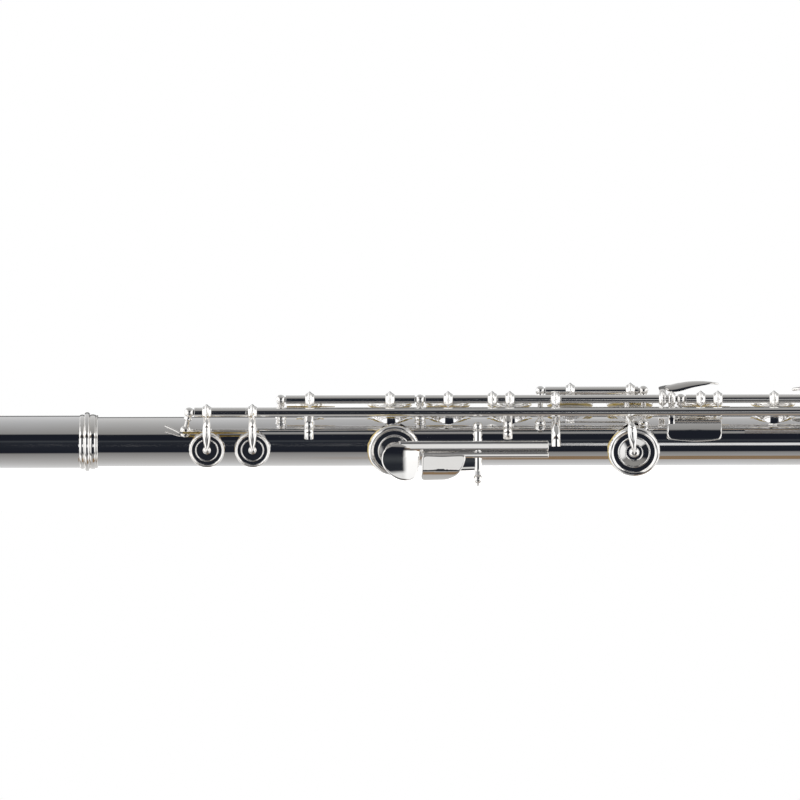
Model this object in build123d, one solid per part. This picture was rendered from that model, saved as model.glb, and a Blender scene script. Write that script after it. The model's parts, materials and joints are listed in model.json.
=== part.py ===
from build123d import *
import os
from math import radians, cos, sin

os.makedirs("parts", exist_ok=True)

# A closed-hole C-foot concert flute with an offset G, in millimetres.
# +X runs along the bore to the foot's open end, +Z rises through the finger keys,
# and -Y faces the player. The origin is on the bore axis at the foot's open end.
# Stations run along X and are counted from the middle of the barrel ring.
# Elevations are angles about the bore axis, from -Y (0) up to +Z (90).

# Stations
FOOT_END = 467.0
CROWN_END = -222.0
EMBOUCHURE = -165.0
STOPPER = -182.0
TENON_END = -7.0
BARREL_START = -36.0
BODY_START = -1.0
BODY_END = 356.4
FOOT_START = 344.2
SOCKET_END = 357.4

# Tubes
BORE = 9.5
TUBE = 9.9
BARREL = 10.5
CLEARANCE = 0.05
HEAD_CROWN_RADIUS = 9.2
HEAD_WALL = 0.45

# Hinge rods, as (across, up) pairs
MAIN_ROD = (-13.2, 16.7)
TRILL_ROD = (-14.0, 11.7)
FOOT_FAR_ROD = (13.2, 16.7)
THUMB_PIVOT = (155.4, -14.5)
STEEL = 1.1
TRILL_STEEL = 1.2
STEEL_IN_POST = 0.8
STEEL_GAP = 0.1
HINGE_TUBE = 1.68
TRILL_TUBE = 1.88
BALL = 1.95
STEM = 1.05
HUB = 2.9
HUB_HALF_WIDTH = 1.8
THUMB_TUBE = 1.7

# Cups, pads and tone holes
SEAT = 12.0
CHIMNEY_TOP = 11.9
MAIN_CUP = 9.3
LARGE_CUP = 10.3
TRILL_CUP = 7.15
SMALL_CUP = 6.0
CHIMNEY_WALL = 0.5
CUP_OVERHANG = 2.0
OFFSET_G = 108.0
TOP = 90.0
TRILL_ELEVATION = -14.0
G_SHARP_ELEVATION = -18.4
THUMB_ELEVATION = -15.0

# Rest openings, in degrees
KEY_OPEN = 8.5
THUMB_OPEN = 4.0

# Stations of the holes
D_SHARP_TRILL = 47.3
D_TRILL = 65.5
C_SHARP_HOLE = 88.4
C_HOLE = 120.4
THUMB_HOLE = 122.0
B_FLAT_HOLE = 143.6
A_HOLE = 168.2
UPPER_G_HOLE = 192.4
LOWER_G_HOLE = 216.4
G_SHARP_HOLE = 217.8
F_SHARP_HOLE = 244.4
F_HOLE = 273.6
E_HOLE = 303.0
D_HOLE = 333.0
FOOT_D_SHARP_HOLE = 367.5
FOOT_C_SHARP_HOLE = 399.0
FOOT_C_HOLE = 431.5


def along(station):
    return station - FOOT_END


def around(elevation, radius):
    angle = radians(elevation)
    return (-radius * cos(angle), radius * sin(angle))


def rod(start, end, axis, radius):
    middle = along((start + end) / 2)
    return Pos(middle, axis[0], axis[1]) * Rot(0, 90, 0) * Cylinder(radius, end - start)


def sleeve(start, end, axis, outer, inner):
    return rod(start, end, axis, outer) - rod(start - 1, end + 1, axis, inner)


def upright(across, up_from, up_to, station, radius):
    middle = (up_from + up_to) / 2
    return Pos(along(station), across, middle) * Cylinder(radius, up_to - up_from)


def turned(points):
    """A solid of revolution about X from (station, radius) points."""
    outline = Polyline(*[(along(s), r) for s, r in points], close=True)
    return revolve(make_face(outline), Axis.X, 360)


def strut(first, second, radius):
    """A round bar between two points."""
    path = Line(first, second)
    profile = Plane(origin=path @ 0, z_dir=path % 0) * Circle(radius)
    return sweep(profile, path=path)


def shell(start, end, inner, outer, low, high):
    """A strip bent round the bore axis, between two elevations."""
    ring = sleeve(start, end, (0, 0), outer, inner)
    reach = 3 * outer
    wedge = make_face(
        Polyline(
            (0, 0),
            around(low, reach),
            around((low + high) / 2, reach),
            around(high, reach),
            close=True,
        )
    )
    block = extrude(Plane.YZ.offset(along(start) - 1) * wedge, end - start + 2)
    return ring & block


def slab(points, start, end):
    """A (across, up) outline extruded between two stations."""
    face = make_face(Polyline(*points, close=True))
    return extrude(Plane.YZ.offset(along(start)) * face, end - start)


def seat_frame(station, elevation):
    return Pos(along(station), 0, 0) * Rot(90 - elevation, 0, 0)


def in_seat_frame(axis, elevation):
    """(across, up) of a rod as seen from a cup at that elevation."""
    turn = radians(90 - elevation)
    across = axis[0] * cos(turn) + axis[1] * sin(turn)
    up = -axis[0] * sin(turn) + axis[1] * cos(turn)
    return (across, up)


def opened(shape, axis, angle):
    """Turn a piece about a rod that runs along X."""
    return Pos(0, axis[0], axis[1]) * Rot(angle, 0, 0) * Pos(0, -axis[0], -axis[1]) * shape


# Cups and pads


def spun(points):
    return revolve(make_face(Plane.XZ * Polyline(*points, close=True)), Axis.Z, 360)


def cup(radius):
    """A pad cup with a raised ring and a centre dome, its seat at height SEAT."""
    s = SEAT
    k = radius / 10.4
    profile = [
        (0, s + 1.95),
        (radius - 0.5, s + 1.95),
        (radius - 0.5, s + 0.5),
        (radius - 0.1, s + 0.4),
        (radius, s + 0.6),
        (radius, s + 1.8),
        (radius - 0.25, s + 2.4),
        (radius - 0.8, s + 2.75),
        (8.5 * k, s + 2.8),
        (8.2 * k, s + 2.5),
        (7.3 * k, s + 2.45),
        (6.9 * k, s + 2.75),
        (6.4 * k, s + 2.95),
        (5.8 * k, s + 2.8),
        (5.4 * k, s + 2.5),
        (2.9 * k, s + 2.5),
        (2.6 * k, s + 2.85),
        (1.6 * k, s + 3.3),
        (0, s + 3.5),
    ]
    return spun(profile)


def pad(radius):
    """A felt pad in its skin, with a rounded lower edge."""
    s = SEAT
    edge = radius - 0.56
    profile = [
        (0, s),
        (edge - 0.9, s),
        (edge - 0.3, s + 0.15),
        (edge, s + 0.6),
        (edge, s + 1.9),
        (0, s + 1.9),
    ]
    return spun(profile)


def chimney(station, elevation, cup_radius):
    outer = cup_radius - CUP_OVERHANG + CHIMNEY_WALL
    wall = Pos(0, 0, CHIMNEY_TOP / 2) * Cylinder(outer, CHIMNEY_TOP)
    lip = Pos(0, 0, CHIMNEY_TOP - 0.35) * Torus(outer, 0.35)
    return seat_frame(station, elevation) * (wall + lip)


def tone_hole(station, elevation, cup_radius):
    inner = cup_radius - CUP_OVERHANG
    return seat_frame(station, elevation) * Pos(0, 0, 10) * Cylinder(inner, 20)


# Arms and hubs


def hub(station, axis, half_width=HUB_HALF_WIDTH, radius=HUB):
    """A rounded collar round a hinge tube."""
    low = axis[1]
    points = [
        (-half_width, 0),
        (-half_width, radius - 0.75),
        (-0.6 * half_width, radius - 0.2),
        (0, radius + 0.1),
        (0.6 * half_width, radius - 0.2),
        (half_width, radius - 0.75),
        (half_width, 0),
    ]
    ring = revolve(make_face(Polyline(*points, close=True)), Axis.X, 360)
    return Pos(along(station), axis[0], low) * ring


def teardrop(root, tip, widest):
    """Plan outline of a pointed arm in the plane of the cup, along Y."""
    span = tip - root
    right = [
        (1.2, root),
        (widest, root + 0.38 * span),
        (0.62 * widest, root + 0.75 * span),
        (0.35, tip - 0.04 * span),
    ]
    left = [(-x, y) for x, y in reversed(right)]
    return make_face(Polyline(*right, (0, tip), *left, close=True))


def arm(side, root, tip, widest=1.9, shift=0.0):
    """A pointed arm: its side view in (across, up), narrowed by a teardrop plan."""
    bar = slab(side, FOOT_END - 6, FOOT_END + 6)
    plan = Pos(shift, 0, -5) * extrude(teardrop(root, tip, widest), 40)
    return bar & plan


def main_arm(axis):
    across, up = axis
    side = [
        (across, up - 1.6),
        (-9.4, SEAT + 2.45),
        (-0.6, SEAT + 2.5),
        (0.6, SEAT + 3.7),
        (-4.0, SEAT + 4.2),
        (-9.0, SEAT + 5.1),
        (across, up + 1.9),
    ]
    return arm(side, across - 0.5, 0.6)


def bored(shape, start, end, axis, radius):
    return shape - rod(start, end, axis, radius)


def finger_key(start, end, holes, elevation, radius, extra_hubs=()):
    """A hinge tube with hubs, arms and cups in one piece, in its open place."""
    turned_frame = Rot(90 - elevation, 0, 0)
    body = rod(start, end, MAIN_ROD, HINGE_TUBE)
    for station in list(holes) + list(extra_hubs):
        body += hub(station, MAIN_ROD)
    for station, size in zip(holes, radius):
        body += Pos(along(station), 0, 0) * (main_arm(MAIN_ROD) + cup(size))
    body = bored(body, start - 1, end + 1, MAIN_ROD, STEEL + CLEARANCE)
    return turned_frame * opened(body, MAIN_ROD, KEY_OPEN)


def finger_pads(holes, elevation, radius):
    turned_frame = Rot(90 - elevation, 0, 0)
    pads = []
    for station, size in zip(holes, radius):
        closed = Pos(along(station), 0, 0) * pad(size)
        pads.append(turned_frame * opened(closed, MAIN_ROD, KEY_OPEN))
    return pads


# Posts


def post(station, axis, base_elevation, base_radius, hole, blind=0, ball=BALL):
    """A turned post: foot disc, stem and ball, drilled for its steel.

    blind is -1 or +1 where the ball is closed on its left or right side.
    """
    base = around(base_elevation, base_radius)
    x = along(station)
    foot_top = around(base_elevation, base_radius + 0.9)
    neck = Vector(x, *axis) - Vector(x, *foot_top)
    stem_end = Vector(x, *axis) - neck.normalized() * (ball - 0.3)
    start = station - 0.9 if blind < 0 else station - 3
    end = station + 0.9 if blind > 0 else station + 3
    drilled = Pos(x, *axis) * Sphere(ball) - rod(start, end, axis, hole)
    body = drilled + strut((x, *foot_top), stem_end, STEM)
    return body + strut((x, *base), (x, *foot_top), 1.8)


def write(name, shape):
    shape.label = name
    export_step(shape, "parts/" + name + ".step")


def write_group(name, solids):
    write(name, Compound(children=list(solids)))


# Headjoint


def head_tube():
    outer = turned([(CROWN_END + 6, 0), (CROWN_END + 6, HEAD_CROWN_RADIUS),
                    (EMBOUCHURE + 40, TUBE - 0.1), (EMBOUCHURE + 60, TUBE),
                    (TENON_END, TUBE), (TENON_END, 0)])
    inner = turned([(CROWN_END + 5, 0), (CROWN_END + 5, HEAD_CROWN_RADIUS - HEAD_WALL),
                    (EMBOUCHURE + 40, BORE - 0.1), (EMBOUCHURE + 60, BORE),
                    (TENON_END + 1, BORE), (TENON_END + 1, 0)])
    return outer - inner - embouchure_cut()


EMBOUCHURE_LENGTH = 12.2
EMBOUCHURE_WIDTH = 10.4
RISER_WALL = 1.0
LIP_TOP = 14.4
LIP_THICKNESS = 1.1
LIP_RADIUS = 15.0


def embouchure_cut():
    hole = RectangleRounded(EMBOUCHURE_LENGTH, EMBOUCHURE_WIDTH, 4.8)
    return Pos(along(EMBOUCHURE), 0, 5) * extrude(hole, 15)


def lip_shell(inner):
    """The lip plate's bent sheet or, with inner, the space below it."""
    centre = LIP_TOP - LIP_RADIUS
    radius = LIP_RADIUS - LIP_THICKNESS if inner else LIP_RADIUS
    return rod(EMBOUCHURE - 30, EMBOUCHURE + 30, (0, centre), radius)


def lip_plate():
    plate = lip_shell(False) - lip_shell(True)
    outline = Pos(along(EMBOUCHURE), -1.5, 3.2) * extrude(Ellipse(21, 12.4), 15)
    plate = plate & outline
    return plate - embouchure_cut()


def embouchure_riser():
    outline = RectangleRounded(
        EMBOUCHURE_LENGTH + 2 * RISER_WALL, EMBOUCHURE_WIDTH + 2 * RISER_WALL, 5.6
    )
    block = Pos(along(EMBOUCHURE), 0, 7) * extrude(outline, 10)
    block = block & lip_shell(True)
    tube = turned([(CROWN_END + 6, 0), (CROWN_END + 6, HEAD_CROWN_RADIUS),
                   (EMBOUCHURE + 40, TUBE - 0.1), (EMBOUCHURE + 60, TUBE),
                   (EMBOUCHURE + 60, 0)])
    return block - tube - embouchure_cut()


SCREW_RADIUS = 1.75


def crown():
    profile = [
        (CROWN_END + 5.9, 0), (CROWN_END + 5.9, 9.3), (CROWN_END + 4.8, 9.8),
        (CROWN_END + 3.6, 9.4), (CROWN_END + 2.8, 9.5), (CROWN_END + 1.4, 9.1),
        (CROWN_END + 0.5, 7.6), (CROWN_END + 0.1, 5.0), (CROWN_END, 0),
    ]
    spigot = rod(CROWN_END + 5.5, CROWN_END + 11, (0, 0), HEAD_CROWN_RADIUS - HEAD_WALL - 0.1)
    body = turned(profile) + spigot
    return body - rod(CROWN_END + 3.0, CROWN_END + 12, (0, 0), SCREW_RADIUS + CLEARANCE)


def stopper_screw():
    stem = rod(CROWN_END + 5.5, STOPPER - 8.1, (0, 0), SCREW_RADIUS)
    back_plate = rod(STOPPER - 9.1, STOPPER - 8.0, (0, 0), 8.2)
    return stem + back_plate


def stopper_cork():
    return rod(STOPPER - 7.95, STOPPER - 1.05, (0, 0), 8.75)


def stopper_plate():
    return rod(STOPPER - 1.0, STOPPER, (0, 0), 8.6)


# Body

MAIN_HOLES = [
    (C_SHARP_HOLE, TOP, SMALL_CUP),
    (C_HOLE, TOP, MAIN_CUP),
    (B_FLAT_HOLE, TOP, MAIN_CUP),
    (A_HOLE, TOP, MAIN_CUP),
    (UPPER_G_HOLE, OFFSET_G, MAIN_CUP),
    (LOWER_G_HOLE, OFFSET_G, MAIN_CUP),
    (F_SHARP_HOLE, TOP, MAIN_CUP),
    (F_HOLE, TOP, MAIN_CUP),
    (E_HOLE, TOP, MAIN_CUP),
    (D_HOLE, TOP, MAIN_CUP),
]
SIDE_HOLES = [
    (D_SHARP_TRILL, TRILL_ELEVATION, TRILL_CUP),
    (D_TRILL, TRILL_ELEVATION, TRILL_CUP),
    (THUMB_HOLE, THUMB_ELEVATION, LARGE_CUP),
    (G_SHARP_HOLE, G_SHARP_ELEVATION, LARGE_CUP),
]
FOOT_HOLES = [
    (FOOT_D_SHARP_HOLE, TOP, MAIN_CUP),
    (FOOT_C_SHARP_HOLE, TOP, MAIN_CUP),
    (FOOT_C_HOLE, TOP, MAIN_CUP),
]


def pierced_tube(start, end, holes):
    """A thin tube with a drawn chimney at each tone hole."""
    body = rod(start, end, (0, 0), TUBE)
    for hole in holes:
        body += chimney(*hole)
    for hole in holes:
        body -= tone_hole(*hole)
    return body - rod(start - 1, end + 1, (0, 0), BORE)


def barrel():
    return sleeve(BARREL_START, -3.7, (0, 0), BARREL, TUBE + CLEARANCE)


def bead_ring(start, beads, end, inner):
    """A ring of rounded beads, each (half width, radius)."""
    points = [(start, inner)]
    place = start
    for half_width, radius in beads:
        points += [
            (place, radius - 0.45),
            (place + 0.35 * half_width, radius - 0.1),
            (place + half_width, radius),
            (place + 1.65 * half_width, radius - 0.1),
            (place + 2 * half_width, radius - 0.45),
        ]
        place += 2 * half_width
        points.append((place + 0.01, radius - 0.65))
        place += 0.02
    points.append((end, points[-1][1]))
    points.append((end, inner))
    return turned(points)


def barrel_ring():
    beads = [(1.0, 10.95), (0.95, 11.85), (1.3, 11.0), (0.4, 10.75)]
    return bead_ring(-3.65, beads, 3.8, TUBE + CLEARANCE)


def foot_socket():
    """The sleeve that slides over the body's tenon, with its beaded mouth."""
    tube = sleeve(FOOT_START, SOCKET_END, (0, 0), BARREL, TUBE + CLEARANCE)
    beads = [(0.9, 11.2), (0.9, 11.8), (0.9, 11.2)]
    return tube + bead_ring(FOOT_START, beads, FOOT_START + 5.5, BARREL - 0.2)


def foot_end_ring():
    beads = [(0.8, 10.6), (1.0, 11.1)]
    return bead_ring(FOOT_END - 3.7, beads, FOOT_END, TUBE + 0.01)


RIB_START = 66.0
RIB_END = 343.0
RIB_TOP = 10.7


def rib():
    strip = shell(RIB_START, RIB_END, TUBE + 0.01, RIB_TOP, 24, 56)
    for hole in MAIN_HOLES + SIDE_HOLES:
        station, elevation, size = hole
        outer = size - CUP_OVERHANG + CHIMNEY_WALL + 0.5
        notch = Pos(0, 0, 10) * Cylinder(outer, 20)
        strip -= seat_frame(station, elevation) * notch
    return strip


POST_BASE = 52.0
F_SHARP_POST_BASE = 58.0
MAIN_POSTS = (76.8, 132.4, 236.4, 341.8)


def main_posts():
    left, middle, right, last = MAIN_POSTS
    hole = STEEL + CLEARANCE
    return [
        post(left, MAIN_ROD, POST_BASE, RIB_TOP, hole, blind=-1),
        post(middle, MAIN_ROD, POST_BASE, RIB_TOP, hole),
        post(right, MAIN_ROD, F_SHARP_POST_BASE, TUBE, hole),
        post(last, MAIN_ROD, POST_BASE, RIB_TOP, hole, blind=1),
    ]


G_ROD = in_seat_frame(MAIN_ROD, 180 - OFFSET_G)
G_POSTS = (180.4, 221.6)
G_POST_BASE = 33.0


def g_posts():
    hole = STEEL + CLEARANCE
    first, second = G_POSTS
    return [
        post(first, G_ROD, G_POST_BASE, RIB_TOP, hole, blind=-1),
        post(second, G_ROD, G_POST_BASE, RIB_TOP, hole, blind=1),
    ]


TRILL_POSTS = (40.3, 323.6)
CRADLES = (88.0, 167.4)
CRADLE_WIDTH = 3.6


def trill_posts():
    hole = TRILL_STEEL + CLEARANCE
    first, last = TRILL_POSTS
    return [
        post(first, TRILL_ROD, 22, TUBE, hole, blind=-1),
        post(last, TRILL_ROD, 28, RIB_TOP, hole, blind=1),
    ]


def cradle(station):
    """A strap soldered to the tube that bears the long trill tube from behind."""
    start = station - CRADLE_WIDTH / 2
    end = station + CRADLE_WIDTH / 2
    strap = shell(start, end, RIB_TOP + 0.01, 11.9, 0, 44)
    foot = shell(start, end, TUBE + 0.01, RIB_TOP + 0.02, 0, 23.8)
    wall = shell(start, end, 11.5, 17.3, 33, 45)
    groove = rod(start - 1, end + 1, TRILL_ROD, TRILL_TUBE + 0.1)
    return strap + foot + wall - groove


def steel(start, end, axis, radius=STEEL):
    return rod(start, end, axis, radius)


# Trill keys

LEFT_TRILL_TUBE = (42.35, 62.9)
LONG_TRILL_TUBE = (63.0, 300.2)
RIGHT_TRILL_TUBE = (300.3, 321.5)
D_TRILL_TOUCH = (281.0, 297.0)
D_TRILL_TOUCH_HUB = 288.0
D_SHARP_TRILL_TOUCH = (310.0, 326.0)
D_SHARP_TRILL_TOUCH_HUB = 317.0


def trill_arm(station, widest=1.9):
    across, up = in_seat_frame(TRILL_ROD, TRILL_ELEVATION)
    side = [
        (across + 0.6, up - 1.2),
        (across - 2.6, up - 0.6),
        (10.4, SEAT + 1.6),
        (7.4, SEAT + 2.9),
        (0.4, SEAT + 2.4),
        (-0.6, SEAT + 3.6),
        (3.6, SEAT + 4.5),
        (8.2, SEAT + 5.0),
        (11.8, SEAT + 3.9),
        (across + 1.2, up + 2.2),
    ]
    return seat_frame(station, TRILL_ELEVATION) * arm(side, across + 1.0, -0.6, widest)


def trill_touch(hub_station, start, end):
    """An arm over the main rod that ends in an oval touch between two cups."""
    side = [
        (-14.6, 13.2), (-17.0, 14.2), (-17.2, 18.4), (-15.2, 20.0),
        (-2.0, 20.6), (-2.0, 21.7), (-15.6, 21.4), (-18.5, 19.0),
        (-18.4, 13.4), (-15.5, 11.4),
    ]
    middle = (start + end) / 2
    bar = slab(side, hub_station - 1.6, hub_station + 1.6)
    oval = Pos(along(middle), -5.0, 20.5) * extrude(Ellipse((end - start) / 2, 4.2), 1.3)
    dish = Pos(along(middle), -5.0, 20.5 - 38.6) * Sphere(40)
    bridge = slab([(-14.0, 20.35), (-5.0, 20.5), (-5.0, 21.5), (-14.0, 21.4)],
                  min(hub_station - 1.6, middle), max(hub_station + 1.6, middle))
    return bar + bridge + (oval & dish)


def trill_key_left():
    """The short tube, arm and cup that are pinned to the inner trill steel."""
    start, end = LEFT_TRILL_TUBE
    body = rod(start, end, TRILL_ROD, TRILL_TUBE)
    body += hub(D_SHARP_TRILL, TRILL_ROD)
    body += trill_arm(D_SHARP_TRILL)
    body += seat_frame(D_SHARP_TRILL, TRILL_ELEVATION) * cup(TRILL_CUP)
    return bored(body, start - 1, end + 1, TRILL_ROD, TRILL_STEEL + CLEARANCE)


def trill_key_right():
    """The touch of the D sharp trill, pinned to the steel's far end."""
    start, end = RIGHT_TRILL_TUBE
    body = rod(start, end, TRILL_ROD, TRILL_TUBE)
    body += hub(D_SHARP_TRILL_TOUCH_HUB, TRILL_ROD)
    body += trill_touch(D_SHARP_TRILL_TOUCH_HUB, *D_SHARP_TRILL_TOUCH)
    return bored(body, start - 1, end + 1, TRILL_ROD, TRILL_STEEL + CLEARANCE)


def long_trill_key():
    """The D trill: a long tube over the steel, its cup left and its touch right."""
    start, end = LONG_TRILL_TUBE
    body = rod(start, end, TRILL_ROD, TRILL_TUBE)
    body += hub(D_TRILL, TRILL_ROD) + hub(D_TRILL_TOUCH_HUB, TRILL_ROD)
    body += trill_arm(D_TRILL)
    body += seat_frame(D_TRILL, TRILL_ELEVATION) * cup(TRILL_CUP)
    body += trill_touch(D_TRILL_TOUCH_HUB, *D_TRILL_TOUCH)
    return bored(body, start - 1, end + 1, TRILL_ROD, TRILL_STEEL + CLEARANCE)


def side_pad(station, elevation, size):
    return seat_frame(station, elevation) * pad(size)


# G sharp key

G_SHARP_ARM = 216.2
G_SHARP_TOUCH = 229.6


def g_sharp_arm():
    across, up = in_seat_frame(MAIN_ROD, G_SHARP_ELEVATION)
    side = [
        (across + 0.4, up - 1.2),
        (14.0, 5.0),
        (11.4, 6.6),
        (11.1, SEAT + 1.2),
        (9.6, SEAT + 2.4),
        (0.6, SEAT + 2.4),
        (-0.6, SEAT + 3.7),
        (4.5, SEAT + 4.4),
        (9.8, SEAT + 4.6),
        (12.5, SEAT + 2.6),
        (12.5, 8.0),
        (14.4, 6.7),
        (across + 0.4, up + 1.6),
    ]
    shift = G_SHARP_ARM - G_SHARP_HOLE
    piece = arm(side, across + 0.5, -0.6, 2.1)
    return seat_frame(G_SHARP_HOLE + 0.5 * shift, G_SHARP_ELEVATION) * piece


def g_sharp_touch():
    """The left little finger's lever, reaching over the tube to its far side."""
    side = [
        (MAIN_ROD[0], MAIN_ROD[1] + 0.8),
        (-9.0, 18.4),
        (8.0, 18.6),
        (13.0, 18.2),
        (13.2, 19.6),
        (8.0, 20.2),
        (-9.5, 20.2),
        (MAIN_ROD[0], MAIN_ROD[1] + 2.8),
    ]
    lever = slab(side, G_SHARP_TOUCH - 1.3, G_SHARP_TOUCH + 1.3)
    x = along(G_SHARP_TOUCH)
    crest = [
        (x - 1.3, 18.4), (x + 2.5, 19.3), (x + 8.5, 21.7), (x + 15.5, 22.9),
        (x + 23.6, 22.7), (x + 23.6, 23.1), (x + 15.0, 23.9), (x + 8.0, 23.1),
        (x + 1.5, 21.0), (x - 1.3, 20.0),
    ]
    face = make_face(Polyline(*crest, close=True))
    blade = extrude(Plane.XZ.offset(-19.0) * face, 9.0)
    plan = Pos(x + 11.5, 14.0, 10) * extrude(RectangleRounded(25.4, 8.6, 3.8), 20)
    return lever + (blade & plan)


def g_sharp_key():
    start, end = 188.65, 231.2
    body = rod(start, end, MAIN_ROD, HINGE_TUBE)
    body += hub(G_SHARP_TOUCH, MAIN_ROD, 1.5)
    body += g_sharp_arm() + g_sharp_touch()
    body += seat_frame(G_SHARP_HOLE, G_SHARP_ELEVATION) * cup(LARGE_CUP)
    return bored(body, start - 1, end + 1, MAIN_ROD, STEEL + CLEARANCE)


# B flat linkage


def b_flat_link():
    """The arm that comes down from the main rod behind the trill rod."""
    start, end = 184.6, 188.5
    body = rod(start, end, MAIN_ROD, HINGE_TUBE) + hub(186.5, MAIN_ROD)
    outline = [
        around(51, 20.0), around(44, 14.9), around(20, 14.9), (-15.4, 1.0),
        (-15.4, -2.4), (-13.8, -2.4), (-13.6, 1.0), around(20, 13.3),
        around(48, 13.3), around(56, 20.0),
    ]
    body += slab(outline, 185.0, 188.3)
    body = bored(body, start - 1, end + 1, MAIN_ROD, STEEL + CLEARANCE)
    return body


SIDE_LEVER = 232.8


def side_lever():
    start, end = 231.3, 234.3
    body = rod(start, end, MAIN_ROD, HINGE_TUBE) + hub(SIDE_LEVER, MAIN_ROD, 1.5)
    sheet = shell(start - 1, 260, 13.6, 14.8, 0, 52)
    tab = Pos(-9.9, 4.0) * Rectangle(2.5, 6.0)
    outline = extrude(RectangleRounded(22.3, 10.0, 2.4) + tab, 30)
    plate = sheet & (Pos(along(242.45), 0, 5.2) * Rot(90, 0, 0) * outline)
    web = slab([around(45, 14.2), around(48, 14.2), around(53, 20), around(50, 20)],
               start + 0.1, end - 0.5)
    body = body + web + plate
    return bored(body, start - 1, end + 1, MAIN_ROD, STEEL + CLEARANCE)


# Thumb keys


def thumb_turned(shape, angle):
    station, across = THUMB_PIVOT
    x = along(station)
    return Pos(x, across, 0) * Rot(0, 0, angle) * Pos(-x, -across, 0) * shape


def thumb_tube(up_from, up_to):
    station, across = THUMB_PIVOT
    outer = upright(across, up_from, up_to, station, THUMB_TUBE)
    inner = upright(across, up_from - 1, up_to + 1, station, STEEL + CLEARANCE)
    return outer, inner


def upright_plate(points, across_from, across_to):
    """A (station, up) outline extruded across the flute."""
    face = make_face(Polyline(*[(along(s), z) for s, z in points], close=True))
    depth = across_to - across_from
    return extrude(Plane.XZ.offset(-across_to) * face, depth)


THUMB_SPOON = 42.0


def thumb_key():
    """Cup, curved thumb touch, bar and tail that turn on the upright pivot."""
    outer, inner = thumb_tube(-4.1, 3.9)
    bar = upright_plate([(124.0, -4.0), (124.0, -0.6), (131.0, 0.0), (182.5, 0.0),
                         (183.9, -1.0), (183.9, -4.0)], -16.3, -14.8)
    touch = upright_plate([(116.4, -7.5), (117.2, -4.0), (119.6, -1.6), (123.6, -0.4),
                           (133.0, -0.3), (132.6, -4.2), (132.2, -9.0), (131.2, -13.2),
                           (128.8, -15.5), (124.4, -15.6), (120.6, -13.8), (117.6, -10.8)],
                          -19.5, -5.0)
    spoon_axis = (THUMB_SPOON - 17.9, -7.0)
    spoon = rod(112, 140, spoon_axis, THUMB_SPOON)
    spoon -= rod(111, 141, spoon_axis, THUMB_SPOON - 1.2)
    stalk = seat_frame(THUMB_HOLE + 2, THUMB_ELEVATION) * Pos(0, 1.5, SEAT + 4.4) * Box(8, 5, 4.4)
    body = seat_frame(THUMB_HOLE, THUMB_ELEVATION) * cup(LARGE_CUP)
    body += bar + (touch & spoon) + stalk + outer
    return thumb_turned(body - inner, THUMB_OPEN)


def thumb_pad():
    return thumb_turned(side_pad(THUMB_HOLE, THUMB_ELEVATION, LARGE_CUP), THUMB_OPEN)


def thumb_lever():
    """The B flat thumb touch with its bar and tail, below the B touch."""
    outer, inner = thumb_tube(-12.1, -4.25)
    bar = upright_plate([(133.6, -7.2), (133.6, -4.4), (183.2, -4.4), (183.9, -5.0),
                         (183.9, -7.2)], -16.3, -14.8)
    start, end = 133.6, 150.0
    touch = upright_plate([(start, -15.5), (start, -4.6), (end, -4.6), (end, -9.4),
                           (147.6, -13.6), (143.2, -15.5)], -19.5, -6.0)
    plate = slab([(-14.6, -4.4), (-17.0, -11.2), (-16.7, -12.2), (-14.2, -15.7),
                  (-13.1, -15.1), (-15.5, -11.8), (-15.7, -11.2), (-13.4, -4.4)],
                 start - 1, end + 1)
    web = upright_plate([(147, -11.6), (147, -4.5), (154.6, -4.5), (154.6, -11.0)],
                        -15.4, -14.4)
    body = bar + (touch & plate) + web + outer
    return thumb_turned(body - inner, THUMB_OPEN)


def thumb_posts():
    station, across = THUMB_PIVOT
    x = along(station)
    hole = STEEL + CLEARANCE
    upper = strut((x, -9.2, 5.9), (x, across, 5.9), 1.3) + Pos(x, across, 5.9) * Sphere(BALL)
    upper -= upright(across, 2.0, 6.8, station, hole)
    lower = strut((x, -5.4, -8.4), (x, across, -15.0), 1.1)
    lower += Pos(x, across, -15.0) * Sphere(BALL)
    lower += Pos(x, across, -16.9) * Cone(0.5, 1.2, 2.2)
    lower -= upright(across, -15.8, -12.0, station, hole)
    upper -= rod(140, 170, (0, 0), RIB_TOP + 0.01)
    lower -= rod(140, 170, (0, 0), TUBE + 0.01)
    return [upper, lower]


# Foot

FOOT_POSTS_NEAR = (359.2, 379.0)
FOOT_POSTS_FAR = (383.4, 448.6)
FOOT_LEVER = 371.5


def foot_posts():
    hole = STEEL + CLEARANCE
    near_left, near_right = FOOT_POSTS_NEAR
    far_left, far_right = FOOT_POSTS_FAR
    return [
        post(near_left, MAIN_ROD, POST_BASE, TUBE, hole, blind=-1),
        post(near_right, MAIN_ROD, POST_BASE, TUBE, hole, blind=1),
        post(far_left, FOOT_FAR_ROD, 180 - POST_BASE, TUBE, hole, blind=-1),
        post(far_right, FOOT_FAR_ROD, 180 - POST_BASE, TUBE, hole, blind=1),
    ]


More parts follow.
